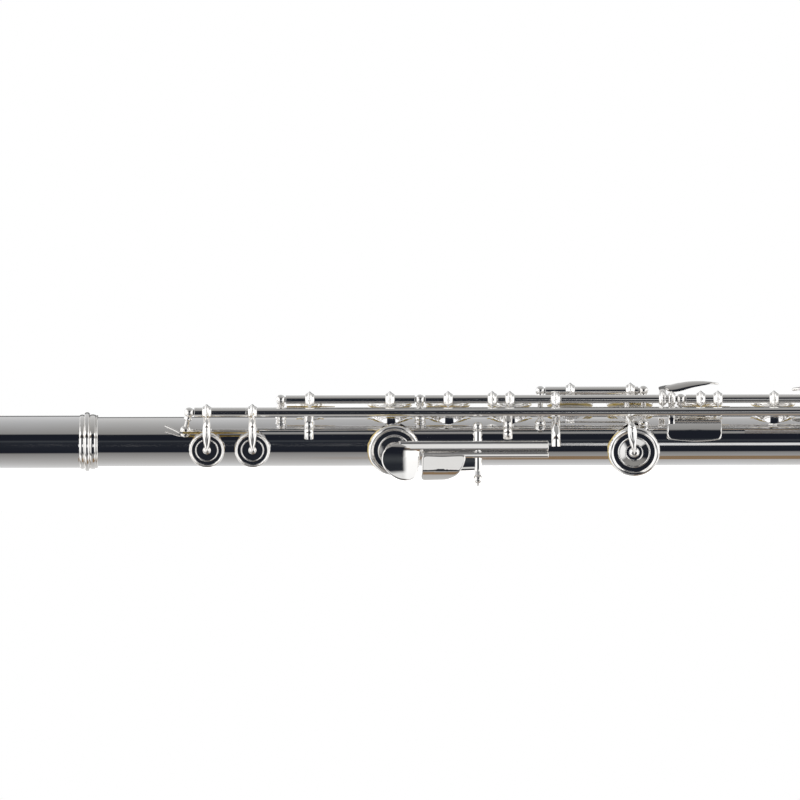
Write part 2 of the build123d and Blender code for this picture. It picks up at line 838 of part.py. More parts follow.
def foot_d_sharp_key():
    """Closed at rest: its touch lies on the player's side of the near rod."""
    start, end = 361.25, 376.95
    body = rod(start, end, MAIN_ROD, HINGE_TUBE)
    body += hub(FOOT_D_SHARP_HOLE, MAIN_ROD)
    body += Pos(along(FOOT_D_SHARP_HOLE), 0, 0) * (main_arm(MAIN_ROD) + cup(MAIN_CUP))
    lever = [(-13.6, 15.2), (-19.0, 15.2), (-26.5, 17.8), (-27.0, 18.9), (-19.0, 17.0),
             (-13.6, 18.0)]
    body += slab(lever, FOOT_LEVER - 2.0, FOOT_LEVER + 2.0)
    plan = Pos(along(FOOT_LEVER), -23.0, 10) * extrude(RectangleRounded(19, 8.4, 3.4), 15)
    blade = slab([(-28, 17.6), (-18, 15.1), (-18, 16.4), (-28, 18.9)], 355, 385)
    body += plan & blade
    return bored(body, start - 1, end + 1, MAIN_ROD, STEEL + CLEARANCE)


def mirrored(shape):
    return mirror(shape, about=Plane.XZ)


ROLLER_UP = 15.8
C_SHARP_ROLLER = (383.2, 393.4)
C_ROLLER = (383.2, 393.4)
C_SHARP_ROLLER_AXIS = (-20.5, ROLLER_UP)
C_ROLLER_AXIS = (-24.6, ROLLER_UP)
ROLLER_PIN = 0.6
ROLLER = 1.9


def roller_fork(span, axis, side):
    """Two cheeks, a beam and a pin; side is +1 with the beam towards the tube."""
    start, end = span
    bottom = axis[1] - 1.2
    top = axis[1] + 0.9
    near = axis[0] - side * 1.2
    far = axis[0] + side * 4.9
    inner = axis[0] + side * 2.2
    outer = axis[0] - side * 3.0
    block = slab([(near, bottom), (far, bottom), (far, top), (near, top)],
                 start - 1.2, end + 1.2)
    pocket = slab([(outer, bottom - 1), (inner, bottom - 1), (inner, top + 1), (outer, top + 1)],
                  start - 0.1, end + 0.1)
    return block - pocket + rod(start - 1.0, end + 1.0, axis, ROLLER_PIN)


def far_key(start, end, hole, lever_start, lever_end, lever_tip):
    """A foot key on the far rod with a lever that crosses over to the player's side."""
    body = mirrored(rod(start, end, MAIN_ROD, HINGE_TUBE) + hub(hole, MAIN_ROD))
    piece = Pos(along(hole), 0, 0) * (main_arm(MAIN_ROD) + cup(MAIN_CUP))
    body += mirrored(piece)
    lever = [(14.2, 17.5), (13.0, 19.3), (5.0, 19.6), (-16.0, 16.4), (lever_tip, 16.4),
             (lever_tip, 15.0), (-16.0, 15.0), (5.0, 18.2), (12.0, 17.4)]
    body += slab(lever, lever_start, lever_end)
    return body


def foot_c_sharp_key():
    start, end = 385.5, 407.0
    body = far_key(start, end, FOOT_C_SHARP_HOLE, 386.0, 388.6, -16.6)
    body += roller_fork(C_SHARP_ROLLER, C_SHARP_ROLLER_AXIS, 1)
    return far_open(body, start, end)


def foot_c_key():
    start, end = 407.1, 446.5
    lever_start, lever_end = 411.6, 414.2
    body = far_key(start, end, FOOT_C_HOLE, lever_start, lever_end, -29.0)
    body += roller_fork(C_ROLLER, C_ROLLER_AXIS, -1)
    beam = [(-29.3, 14.7), (-27.5, 14.7), (-27.5, 16.6), (-29.3, 16.6)]
    body += slab(beam, C_ROLLER[1], lever_end + 0.2)
    return far_open(body, start, end)


def far_open(body, start, end):
    body = bored(body, start - 1, end + 1, FOOT_FAR_ROD, STEEL + CLEARANCE)
    return opened(body, FOOT_FAR_ROD, -KEY_OPEN)


def roller(span, axis):
    start, end = span
    body = sleeve(start, end, axis, ROLLER, ROLLER_PIN + CLEARANCE)
    return opened(body, FOOT_FAR_ROD, -KEY_OPEN)


def far_pad(hole):
    return opened(Pos(along(hole), 0, 0) * pad(MAIN_CUP), FOOT_FAR_ROD, -KEY_OPEN)


# Springs


def needle(start, end, first, last, radius=0.3):
    return strut((along(start), *first), (along(end), *last), radius)


def needle_springs():
    low = around(20, 10.95)
    trill = needle(36.8, 63.0, (-12.5, 3.6), (-12.3, 3.6), 0.32)
    trill += needle(31.0, 36.8, (-12.6, 6.3), (-12.5, 3.6), 0.32)
    trill += Pos(along(36.8), -12.5, 3.6) * Sphere(0.32)
    return [
        trill,
        needle(79.2, 98.4, (-10.6, 13.9), (-10.6, 13.9)),
        needle(134.8, 152.0, (-11.0, 13.6), (-10.9, 13.8)),
        needle(239.0, 256.0, (-11.0, 13.6), (-10.9, 13.8)),
        needle(262.0, 338.0, low, low),
    ]


# Writing the nodes


def write_head():
    write("head_tube", head_tube())
    write("lip_plate", lip_plate())
    write("embouchure_riser", embouchure_riser())
    write("crown", crown())
    write("stopper_screw", stopper_screw())
    write("stopper_cork", stopper_cork())
    write("stopper_plate", stopper_plate())


def write_body_frame():
    write("body_tube", pierced_tube(BODY_START, BODY_END, MAIN_HOLES + SIDE_HOLES))
    write("barrel", barrel())
    write("barrel_ring", barrel_ring())
    write("rib", rib())
    write_group("key_posts", main_posts() + g_posts())
    write_group("trill_posts", trill_posts() + [cradle(station) for station in CRADLES])
    write_group("thumb_posts", thumb_posts())
    write_group("needle_springs", needle_springs())
    thumb_station, thumb_across = THUMB_PIVOT
    left, middle, right, last = MAIN_POSTS
    fixed_steels = [
        steel(left - STEEL_IN_POST, middle - STEEL_GAP, MAIN_ROD),
        steel(G_POSTS[0] - STEEL_IN_POST, G_POSTS[1] + STEEL_IN_POST, G_ROD),
        upright(thumb_across, -15.7, 6.7, thumb_station, STEEL),
    ]
    write_group("fixed_steels", fixed_steels)
    write("b_flat_steel", steel(middle + STEEL_GAP, right - STEEL_GAP, MAIN_ROD))
    write("f_sharp_steel", steel(right + STEEL_GAP, last + STEEL_IN_POST, MAIN_ROD))
    first, last = TRILL_POSTS
    trill_steel = steel(first - STEEL_IN_POST, last + STEEL_IN_POST, TRILL_ROD, TRILL_STEEL)
    write("trill_steel", trill_steel)


def write_trills():
    write("d_sharp_trill_cup", trill_key_left())
    write("d_sharp_trill_touch", trill_key_right())
    write("d_sharp_trill_pad", side_pad(D_SHARP_TRILL, TRILL_ELEVATION, TRILL_CUP))
    write("d_trill_key", long_trill_key())
    write("d_trill_pad", side_pad(D_TRILL, TRILL_ELEVATION, TRILL_CUP))


# name, tube start, tube end, holes, elevation, cup radii, stations of hubs with no arm
FINGER_KEYS = [
    ("c", 78.85, 130.35, (C_SHARP_HOLE, C_HOLE), TOP, (SMALL_CUP, MAIN_CUP), ()),
    ("b_flat", 134.45, 163.3, (B_FLAT_HOLE,), TOP, (MAIN_CUP,), (161.2,)),
    ("a", 163.4, 184.5, (A_HOLE,), TOP, (MAIN_CUP,), ()),
    ("g", 182.45, 219.55, (UPPER_G_HOLE, LOWER_G_HOLE), OFFSET_G, (MAIN_CUP, MAIN_CUP), ()),
    ("f_sharp", 238.45, 253.0, (F_SHARP_HOLE,), TOP, (MAIN_CUP,), (251.2,)),
    ("f", 253.1, 287.9, (F_HOLE,), TOP, (MAIN_CUP,), ()),
    ("e", 288.0, 317.9, (E_HOLE,), TOP, (MAIN_CUP,), ()),
    ("d", 318.0, 339.75, (D_HOLE,), TOP, (MAIN_CUP,), ()),
]


def write_finger_keys():
    for name, start, end, holes, elevation, sizes, extra_hubs in FINGER_KEYS:
        write(name + "_key", finger_key(start, end, holes, elevation, sizes, extra_hubs))
        write_group(name + "_pad", finger_pads(holes, elevation, sizes))


def write_side_keys():
    write("b_flat_link", b_flat_link())
    write("side_lever", side_lever())
    write("g_sharp_key", g_sharp_key())
    write("g_sharp_pad", side_pad(G_SHARP_HOLE, G_SHARP_ELEVATION, LARGE_CUP))
    write("thumb_key", thumb_key())
    write("thumb_pad", thumb_pad())
    write("thumb_lever", thumb_lever())


def write_foot():
    write("foot_tube", pierced_tube(SOCKET_END, FOOT_END, FOOT_HOLES))
    write("foot_socket", foot_socket())
    write("foot_end_ring", foot_end_ring())
    write_group("foot_posts", foot_posts())
    near_left, near_right = FOOT_POSTS_NEAR
    far_left, far_right = FOOT_POSTS_FAR
    steels = [
        steel(near_left - STEEL_IN_POST, near_right + STEEL_IN_POST, MAIN_ROD),
        steel(far_left - STEEL_IN_POST, far_right + STEEL_IN_POST, FOOT_FAR_ROD),
    ]
    write_group("foot_steels", steels)
    write("foot_d_sharp_key", foot_d_sharp_key())
    write("foot_d_sharp_pad", Pos(along(FOOT_D_SHARP_HOLE), 0, 0) * pad(MAIN_CUP))
    write("foot_c_sharp_key", foot_c_sharp_key())
    write("foot_c_sharp_pad", far_pad(FOOT_C_SHARP_HOLE))
    write("foot_c_key", foot_c_key())
    write("foot_c_pad", far_pad(FOOT_C_HOLE))
    write("c_sharp_roller", roller(C_SHARP_ROLLER, C_SHARP_ROLLER_AXIS))
    write("c_roller", roller(C_ROLLER, C_ROLLER_AXIS))


write_head()
write_body_frame()
write_trills()
write_finger_keys()
write_side_keys()
write_foot()
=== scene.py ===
"""A concert flute: fine meshes, materials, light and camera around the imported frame."""
import json
from math import copysign, cos, hypot, pi, radians, sin, sqrt

import bpy
from mathutils import Matrix, Vector

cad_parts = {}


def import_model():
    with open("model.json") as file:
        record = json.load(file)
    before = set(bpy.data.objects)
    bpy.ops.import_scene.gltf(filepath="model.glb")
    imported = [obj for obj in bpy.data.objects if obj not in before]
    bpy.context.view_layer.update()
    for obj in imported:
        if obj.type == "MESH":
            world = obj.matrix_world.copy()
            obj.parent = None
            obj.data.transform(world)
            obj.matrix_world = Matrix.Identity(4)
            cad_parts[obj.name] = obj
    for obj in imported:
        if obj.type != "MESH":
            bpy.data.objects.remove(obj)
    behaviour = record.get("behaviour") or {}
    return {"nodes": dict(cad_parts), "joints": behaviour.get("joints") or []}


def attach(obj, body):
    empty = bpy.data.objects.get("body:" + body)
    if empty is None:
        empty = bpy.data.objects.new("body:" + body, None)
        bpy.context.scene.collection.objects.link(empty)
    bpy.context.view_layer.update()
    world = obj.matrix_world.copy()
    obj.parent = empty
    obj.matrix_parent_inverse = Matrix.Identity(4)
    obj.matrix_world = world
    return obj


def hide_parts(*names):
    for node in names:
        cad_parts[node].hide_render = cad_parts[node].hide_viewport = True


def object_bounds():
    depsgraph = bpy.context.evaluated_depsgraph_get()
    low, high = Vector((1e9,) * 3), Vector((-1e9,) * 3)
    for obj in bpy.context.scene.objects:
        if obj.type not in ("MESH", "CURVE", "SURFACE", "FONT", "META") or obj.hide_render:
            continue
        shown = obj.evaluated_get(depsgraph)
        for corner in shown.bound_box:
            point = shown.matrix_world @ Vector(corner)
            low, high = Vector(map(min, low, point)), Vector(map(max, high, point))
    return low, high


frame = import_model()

cad_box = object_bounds()

# Lengths are in millimetres until a mesh is made. A station is a distance along the flute from
# the middle of the barrel ring, towards the foot. Tube, rod and cup sizes are radii.
MM = 0.001
FOOT_END = 467
CROWN_END = -222
HEAD_START = CROWN_END + 6
EMBOUCHURE = -165
BORE = 9.5
TUBE = 9.9
TENON = 9.96
BARREL = 10.5
RIB_TOP = 10.7
CHIMNEY_TOP = 11.9
SEAT = 12
CUP_OVERHANG = 2
SMALL_CUP = 8  # cups below this size have the small profile
HINGE_TUBE = 1.68
TRILL_TUBE = 1.88
THUMB_TUBE = 1.7
STEEL = 1.16
HUB = 2.9
BALL = 1.95
POINT = 0.01  # the radius that closes a turned outline on its axis
ROUND = 160  # segments round the wide turned pieces

JOINTS = {joint["name"]: joint for joint in frame["joints"]}


def pivot(joint):
    """Where a joint turns, along, across and up."""
    return [value / MM for value in JOINTS[joint]["pos_m"]]


MAIN_ROD = pivot("a_turn")[1:]
TRILL_ROD = pivot("d_trill_turn")[1:]
G_ROD = pivot("g_turn")[1:]
FAR_ROD = pivot("foot_c_turn")[1:]
THUMB_X, THUMB_ACROSS = pivot("thumb_turn")[:2]
KEY_OPEN = 8.5
THUMB_OPEN = 4

# Elevations of tone holes: 90 is on top of the tube, 0 is on the player's side.
TOP = 90
OFFSET_G = 108
TRILL_SIDE = -14
THUMB_SIDE = -15
G_SHARP_SIDE = -18.4

# Each cup has a station, an elevation and a radius.
FINGER_CUP = 9.3
STATIONS = {"c": 120.4, "b_flat": 143.6, "a": 168.2, "upper_g": 192.4, "lower_g": 216.4,
            "f_sharp": 244.4, "f": 273.6, "e": 303, "d": 333}
CUPS = {"c_sharp": (88.4, TOP, 6)}
for name, station in STATIONS.items():
    CUPS[name] = (station, OFFSET_G if name.endswith("_g") else TOP, FINGER_CUP)
CUPS["d_sharp_trill"] = (47.3, TRILL_SIDE, 7.15)
CUPS["d_trill"] = (65.5, TRILL_SIDE, 7.15)
CUPS["thumb"] = (122, THUMB_SIDE, 10.3)
CUPS["g_sharp"] = (217.8, G_SHARP_SIDE, 10.3)
FOOT_CUPS = {
    "foot_d_sharp": (367.5, TOP, FINGER_CUP), "foot_c_sharp": (399, TOP, FINGER_CUP),
    "foot_c": (431.5, TOP, FINGER_CUP),
}

# Each finger key has the two ends of its hinge tube, its cups and the hub of its clutch.
FINGER_KEYS = {
    "c": (78.85, 130.35, ["c_sharp", "c"]), "b_flat": (134.45, 163.3, ["b_flat"], [161.2]),
    "a": (163.4, 184.5, ["a"]), "g": (182.45, 219.55, ["upper_g", "lower_g"]),
    "f_sharp": (238.45, 253, ["f_sharp"], [251.2]), "f": (253.1, 287.9, ["f"]),
    "e": (288, 317.9, ["e"]), "d": (318, 339.75, ["d"]),
}


# Places

def along(station):
    return station - FOOT_END


def around(elevation, radius):
    angle = radians(elevation)
    return (-radius * cos(angle), radius * sin(angle))


STILL = Matrix.Identity(4)
ALONG_BORE = Matrix.Rotation(pi / 2, 4, "Y")


def shift(x, y, z):
    return Matrix.Translation((x, y, z))


def turn_x(degrees):
    return Matrix.Rotation(radians(degrees), 4, "X")


def on_rod(station, rod):
    """Local Z becomes the flute's X, at a station on a rod."""
    return shift(along(station), *rod) @ ALONG_BORE


def seat(station, elevation):
    """Local Z points out of the tone hole."""
    return shift(along(station), 0, 0) @ turn_x(90 - elevation)


def about(place, turn):
    """The same turn about a place that isn't the origin."""
    return Matrix.Translation(place) @ turn @ Matrix.Translation(place).inverted()


def swing(rod, degrees):
    """A turn about a rod that lies along X, which is given as (across, up)."""
    return about((0, *rod), turn_x(degrees))


def pointing(first, second):
    """Local Z runs from the first point to the second, starting at the first."""
    direction = Vector(second) - Vector(first)
    return shift(*first) @ direction.to_track_quat("Z", "Y").to_matrix().to_4x4()


def seen_from_seat(rod, elevation):
    """(across, up) of a rod, as a tone hole's own frame has it."""
    return (turn_x(elevation - 90) @ Vector((0, *rod)))[1:]


# Outlines

def bend(before, corner, after, radius, share, steps):
    """A quadratic curve round a corner, which takes up at most a share of each side."""
    corner = Vector(corner)
    ends = []
    for other in (before, after):
        side = Vector(other) - corner
        ends.append(corner + side.normalized() * min(radius, share * side.length))
    spots = []
    for i in range(steps + 1):
        t = i / steps
        spot = ends[0] * (1 - t) ** 2 + corner * 2 * t * (1 - t) + ends[1] * t * t
        spots.append((spot.x, spot.y))
    return spots


def soft(points, radius=0.25, steps=4):
    """Rounds the inner corners of an open outline."""
    out = [points[0]]
    for before, corner, after in zip(points, points[1:], points[2:]):
        out += bend(before, corner, after, radius, 0.45, steps)
    return out + [points[-1]]


def rounded(corners, radius):
    """Rounds every corner of a closed outline."""
    out = []
    for i, corner in enumerate(corners):
        after = corners[(i + 1) % len(corners)]
        out += bend(corners[i - 1], corner, after, radius, 0.48, 6)
    return out


def cylinder(start, end, radius, inner=POINT):
    """The outline of a solid or hollow cylinder."""
    return [(start, inner), (start, radius), (end, radius), (end, inner)]


def guard(outline, start, end, radius):
    """Adds a ring near both ends of a long wall, so that its shading stays straight."""
    middle = len(outline) // 2
    outline[middle:middle] = [(start, radius), (end, radius)]
    return outline


def squarish(angle, power):
    """A point of a unit circle, pushed out towards a square as the power grows."""
    return [copysign(abs(part) ** (2 / power), part) for part in (cos(angle), sin(angle))]


def oval(middle, half_u, half_v, power=2, count=72):
    points = []
    for i in range(count):
        u, v = squarish(2 * pi * i / count, power)
        points.append((middle[0] + half_u * u, middle[1] + half_v * v))
    return points


def even(outline, count=96):
    """Spreads points evenly along a closed outline."""
    points = [Vector(point) for point in outline]
    sides = list(zip(points, points[1:] + points[:1]))
    step = sum((b - a).length for a, b in sides) / count
    out = []
    passed = 0
    for a, b in sides:
        length = max((b - a).length, 1e-9)
        while len(out) < count and passed + length >= step * len(out):
            spot = a + (b - a) * ((step * len(out) - passed) / length)
            out.append((spot.x, spot.y))
        passed += length
    return out


def curve_through(points, samples=8):
    """Catmull-Rom samples of rows of numbers."""
    rows = [points[0]] + list(points) + [points[-1]]
    out = []
    for i in range(1, len(rows) - 2):
        for k in range(samples):
            t = k / samples
            row = []
            for a, b, c, d in zip(*rows[i - 1:i + 3]):
                row.append(0.5 * (2 * b + (c - a) * t + (2 * a - 5 * b + 4 * c - d) * t * t
                                  + (3 * b - a - 3 * c + d) * t ** 3))
            out.append(row)
    return out + [list(points[-1])]


# Meshes

def new_object(name, data):
    obj = bpy.data.objects.new(name, data)
    bpy.context.scene.collection.objects.link(obj)
    return obj


def give_look(mesh, material, angle):
    """Smooth shading up to an angle between faces, and a material."""
    mesh.materials.append(material)
    mesh.polygons.foreach_set("use_smooth", [True] * len(mesh.polygons))
    mesh.set_sharp_from_angle(angle=radians(angle))


class Shape:
    """Collects closed surfaces that become one mesh."""

    def __init__(self):
        self.verts = []
        self.faces = []

    def rings(self, rings, matrix=STILL, closed=False):
        """Joins rings of points; a closed band joins the last ring to the first."""
        base = len(self.verts)
        total = len(rings)
        count = len(rings[0])
        faces = []
        for i in range(total if closed else total - 1):
            a = i * count
            b = ((i + 1) % total) * count
            for k in range(count):
                n = (k + 1) % count
                faces.append((a + k, a + n, b + n, b + k))
        if not closed:
            faces.append(range(count - 1, -1, -1))
            faces.append(range((total - 1) * count, total * count))
        mirrored = matrix.determinant() < 0
        self.verts += [matrix @ Vector(point) for ring in rings for point in ring]
        for face in faces:
            corners = [base + i for i in face]
            self.faces.append(corners[::-1] if mirrored else corners)
        return self

    def lathe(self, profile, matrix, segments=48, closed=False):
        """Turns (height, radius) points about local Z."""
        profile = list(profile)
        if not closed and profile[0][1] > 2 * POINT:
            profile.insert(0, (profile[0][0], POINT))
        if not closed and profile[-1][1] > 2 * POINT:
            profile.append((profile[-1][0], POINT))
        angles = [2 * pi * i / segments for i in range(segments)]
        rings = []
        for height, radius in profile:
            radius = max(radius, POINT)
            rings.append([(radius * cos(a), radius * sin(a), height) for a in angles])
        return self.rings(rings, matrix, closed)

    def turned(self, outline, segments=ROUND):
        """Turns (station, radius) points about the bore's axis; a sleeve is a closed band."""
        profile = [(along(station), radius) for station, radius in outline]
        return self.lathe(profile, ALONG_BORE, segments, closed=profile[0][1] > POINT)

    def strap(self, rows, side=(1, 0, 0), matrix=STILL, power=2.6, corners=20):
        """A bar along rows of (x, y, z, half width, half thickness)."""
        rows = curve_through(rows)
        side = Vector(side)
        rings = []
        for i, row in enumerate(rows):
            centre = Vector(row[:3])
            after = Vector(rows[min(i + 1, len(rows) - 1)][:3])
            before = Vector(rows[max(i - 1, 0)][:3])
            thick = (after - before).normalized().cross(side).normalized()
            ring = []
            for k in range(corners):
                a, b = squarish(2 * pi * k / corners, power)
                ring.append(centre + side * a * row[3] + thick * b * row[4])
            rings.append(ring)
        self.rings(rings, matrix)

    def arm(self, x, rows, matrix=STILL, power=2.6):
        """A bar across the flute along rows of (across, up, half width, half thickness)."""
        self.strap([(x, *row) for row in rows], matrix=matrix, power=power)

    def mesh(self, name):
        mesh = bpy.data.meshes.new(name)
        mesh.from_pydata([v * MM for v in self.verts], [], self.faces)
        return mesh

    def piece(self, name, material, body, *nodes, angle=40):
        """Makes the mesh, lets it ride on its body and hides the CAD nodes it stands for."""
        mesh = self.mesh(name)
        mesh.validate()
        give_look(mesh, material, angle)
        obj = new_object(name, mesh)
        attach(obj, body)
        if nodes:
            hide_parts(*nodes)
        return obj


def round_normals(mesh):
    """Gives a tube's wall true round normals, so that cuts leave no facets."""
    normals = []
    for polygon in mesh.polygons:
        normal = polygon.normal.copy()
        centre = Vector((0, *polygon.center[1:]))
        outward = normal.dot(centre)
        on_wall = abs(normal.x) <= 0.5 and abs(outward) >= 0.9 * centre.length
        for vertex in polygon.vertices:
            radial = Vector((0, *mesh.vertices[vertex].co[1:])).normalized()
            normals.append(radial * copysign(1, outward) if on_wall else normal)
    mesh.normals_split_custom_set(normals)


def cut_away(piece, cutter):
    """Cuts a hole through a thin wall and keeps the wall's round shading."""
    tool = new_object("cutter", cutter.mesh("cutter"))
    modifier = piece.modifiers.new("holes", "BOOLEAN")
    modifier.object = tool
    modifier.operation = "DIFFERENCE"
    modifier.solver = "EXACT"
    modifier.use_self = True
    graph = bpy.context.evaluated_depsgraph_get()
    cut = bpy.data.meshes.new_from_object(piece.evaluated_get(graph))
    piece.modifiers.clear()
    piece.data = cut
    bpy.data.objects.remove(tool)
    round_normals(cut)


# Materials


def rgba(colour):
    """A grey level or a colour with its alpha."""
    return (*colour, 1) if isinstance(colour, tuple) else (colour, colour, colour, 1)


class Graph:
    """Builds the shader nodes of one material or world."""

    def __init__(self, owner):
        owner.use_nodes = True
        self.owner = owner
        self.nodes = owner.node_tree.nodes
        self.links = owner.node_tree.links

    def feed(self, socket, value):
        """Links an output to a socket, or sets it to a plain value."""
        if isinstance(value, bpy.types.NodeSocket):
            self.links.new(value, socket)
        else:
            socket.default_value = value

    def node(self, kind, inputs):
        node = self.nodes.new(kind)
        for name, value in inputs.items():
            self.feed(node.inputs[name], value)
        return node

    def ramp(self, source, stops):
        """A colour ramp over a value; stops are (place, grey or colour)."""
        node = self.node("ShaderNodeValToRGB", {"Fac": source})
        elements = node.color_ramp.elements
        while len(elements) < len(stops):
            elements.new(0.5)
        for element, (place, colour) in zip(elements, stops):
            element.position = place
            element.color = rgba(colour)
        return node.outputs["Color"]

    def noise(self, scale, detail=4, stretch=(1, 1, 1), distortion=0):
        """Noise in object space, in features per metre, stretched along an axis."""
        place = self.nodes.new("ShaderNodeTexCoord").outputs["Object"]
        mapping = self.node("ShaderNodeMapping", {"Vector": place, "Scale": stretch})
        texture = self.node("ShaderNodeTexNoise", {
            "Vector": mapping.outputs["Vector"], "Scale": scale, "Detail": detail,
            "Distortion": distortion,
        })
        return texture.outputs["Fac"]

    def bump(self, height, strength, distance):
        inputs = {"Height": height, "Strength": strength, "Distance": distance}
        return self.node("ShaderNodeBump", inputs).outputs["Normal"]

    def math(self, operation, *values):
        node = self.nodes.new("ShaderNodeMath")
        node.operation = operation
        for socket, value in zip(node.inputs, values):
            self.feed(socket, value)
        return node.outputs[0]

    def between(self, value, low, high, edge):
        """1 between low and high, with soft edges, and 0 outside."""
        up = self.math("MULTIPLY", self.math("SUBTRACT", value, low), 1 / edge)
        down = self.math("MULTIPLY", self.math("SUBTRACT", high, value), 1 / edge)
        limit = self.math("MINIMUM", up, down)
        return self.math("MAXIMUM", self.math("MINIMUM", limit, 1), 0)

    def mix(self, factor, first, second):
        """Mixes two colours."""
        node = self.nodes.new("ShaderNodeMix")
        node.data_type = "RGBA"
        for socket, value in zip((0, 6, 7), (factor, first, second)):
            self.feed(node.inputs[socket], value)
        return node.outputs[2]

    def shader(self, inputs):
        """Feeds the material's shader and gives back the material."""
        for name, value in inputs.items():
            self.feed(self.nodes["Principled BSDF"].inputs[name], value)
        return self.owner


def new_surface(name):
    return Graph(bpy.data.materials.new(name))


def silver(name, bright, warm, rough_low, rough_high, scratch):
    """Silver plate: faint warm tarnish, polishing marks and a soft change of gloss."""
    graph = new_surface(name)
    cloud = graph.noise(60, 3, (0.3, 1, 1))
    marks = graph.noise(900, 2, (0.05, 1, 1))
    fine = graph.noise(2500, 2, (0.02, 1, 1))
    return graph.shader({
        "Metallic": 1,
        "Base Color": graph.ramp(cloud, [(0.35, warm), (0.65, bright)]),
        "Roughness": graph.ramp(marks, [(0.3, rough_low), (0.75, rough_high)]),
        "Normal": graph.bump(fine, scratch, 0.00002),
    })


def ground_steel():
    """Steel with fine rings left by the grinding wheel."""
    graph = new_surface("ground steel")
    rings = graph.noise(1500, 2, (1, 0.05, 0.05))
    return graph.shader({
        "Metallic": 1,
        "Base Color": graph.ramp(rings, [(0.3, 0.42), (0.7, 0.58)]),
        "Roughness": 0.28,
        "Normal": graph.bump(rings, 0.2, 0.00002),
    })


def spring_wire():
    graph = new_surface("gilt spring wire")
    cloud = graph.noise(400, 3)
    return graph.shader({
        "Metallic": 1,
        "Base Color": graph.ramp(cloud, [(0.3, (0.55, 0.38, 0.12)), (0.7, (0.86, 0.68, 0.30))]),
        "Roughness": 0.22,
    })


def pad_skin():
    """Thin yellow skin over felt, with fine wrinkles."""
    graph = new_surface("pad skin")
    cloud = graph.noise(350, 5, distortion=0.6)
    wrinkles = graph.noise(1400, 6, distortion=1.2)
    return graph.shader({
        "Base Color": graph.ramp(cloud, [(0.3, (0.62, 0.42, 0.08)), (0.7, (0.86, 0.68, 0.24))]),
        "Roughness": 0.38,
        "Coat Weight": 0.3,
        "Normal": graph.bump(wrinkles, 0.4, 0.00008),
    })


def cork():
    graph = new_surface("stopper cork")
    grains = graph.noise(900, 6, distortion=0.8)
    return graph.shader({
        "Base Color": graph.ramp(grains, [(0.35, (0.2, 0.1, 0.045)), (0.6, (0.5, 0.31, 0.16))]),
        "Roughness": 0.85,
        "Normal": graph.bump(grains, 0.7, 0.0003),
    })


TUBE_SILVER = silver("tube silver", (0.91, 0.91, 0.92), (0.87, 0.86, 0.85), 0.03, 0.09, 0.12)
KEY_SILVER = silver("key silver", (0.93, 0.925, 0.915), (0.90, 0.88, 0.855), 0.03, 0.08, 0.05)
STEEL_GREY = ground_steel()
GILT = spring_wire()
PAD_SKIN = pad_skin()
CORK = cork()


# Parts that repeat

def on_seat(outline, radius=0.2):
    """Rounds an outline of (height over the pad's seat, radius) points."""
    return soft([(SEAT + height, reach) for height, reach in outline], radius)


def cup_profile(radius):
    """A pad cup: skirt, shoulder, flat groove, raised ring, cone and centre dome."""
    share = radius / 10.4
    outline = [
        (1.95, POINT), (1.95, radius - 0.25), (0.92, radius - 0.25), (0.9, radius - 0.1),
        (1.1, radius), (1.9, radius), (2.65, radius - 0.4), (2.95, radius - 1),
        (2.7, radius - 1.6), (2.35, 8.4 * share), (2.35, 6.45 * share), (2.6, 6.35 * share),
        (2.6, 6.05 * share), (2.35, 5.95 * share), (3, 3.5 * share), (2.6, 3.3 * share),
        (2.6, 2 * share), (2.9, 1.8 * share), (3.35, 1.1 * share), (3.5, POINT),
    ]
    return on_seat(outline)


def small_cup_profile(radius):
    """A small cup: wide rounded rim, groove, thin ring, flat and dome."""
    share = radius / 7.15
    outline = [
        (1.95, POINT), (1.95, radius - 0.5), (0.42, radius - 0.5), (0.4, radius - 0.1),
        (0.7, radius), (1.9, radius), (2.7, radius - 0.25), (2.95, radius - 0.6),
        (2.7, radius - 0.95), (2.4, radius - 1.1), (2.4, 4.56 * share), (2.6, 4.48 * share),
        (2.6, 4.3 * share), (2.4, 4.22 * share), (2.4, 1.5 * share), (2.8, 1.35 * share),
        (3.3, 0.85 * share), (3.5, POINT),
    ]
    return on_seat(outline, 0.15)


def pad_profile(radius):
    """A pad: flat face with the tone hole's print, rounded edge."""
    edge = radius - 0.3
    ring = radius - CUP_OVERHANG + 0.25
    outline = [
        (0.02, POINT), (0.02, ring - 0.5), (0.1, ring), (0.02, ring + 0.5), (0.05, edge - 0.6),
        (0.5, edge - 0.05), (1.9, edge), (1.9, POINT),
    ]
    return on_seat(outline, 0.3)


def add_cup(shape, cup, matrix=STILL):
    station, elevation, radius = cup
    profile = small_cup_profile(radius) if radius < SMALL_CUP else cup_profile(radius)
    shape.lathe(profile, matrix @ seat(station, elevation), 96)


def pad_piece(name, cups, matrix=STILL):
    shape = Shape()
    for station, elevation, radius in cups:
        shape.lathe(pad_profile(radius), matrix @ seat(station, elevation), 96)
    shape.piece(name + "_pad_skin", PAD_SKIN, name, name + "_pad", angle=60)


def add_hub(shape, station, rod, half_width=1.8, matrix=STILL):
    """Two cones that meet in a fine crest round the middle of a hub."""
    half = [(1, 1.3), (1, HUB - 1), (0.9, HUB - 0.75), (0.45, HUB - 0.3),
            (0.16, HUB + 0.2), (0.07, HUB + 0.38)]
    outline = [(-share * half_width, radius) for share, radius in half]
    outline += [(share * half_width, radius) for share, radius in reversed(half)]
    shape.lathe(soft(outline, 0.12, 3), matrix @ on_rod(station, rod))


def add_tube(shape, start, end, rod, radius, matrix=STILL):
    """A hinge tube with rounded ends; the steel inside shows at each end."""
    length = end - start
    outline = soft(cylinder(0, length, radius, STEEL), 0.12, 3)
    near_end = min(0.3, length / 3)
    guard(outline, near_end, length - near_end, radius)
    shape.lathe(outline, matrix @ on_rod(start, rod))


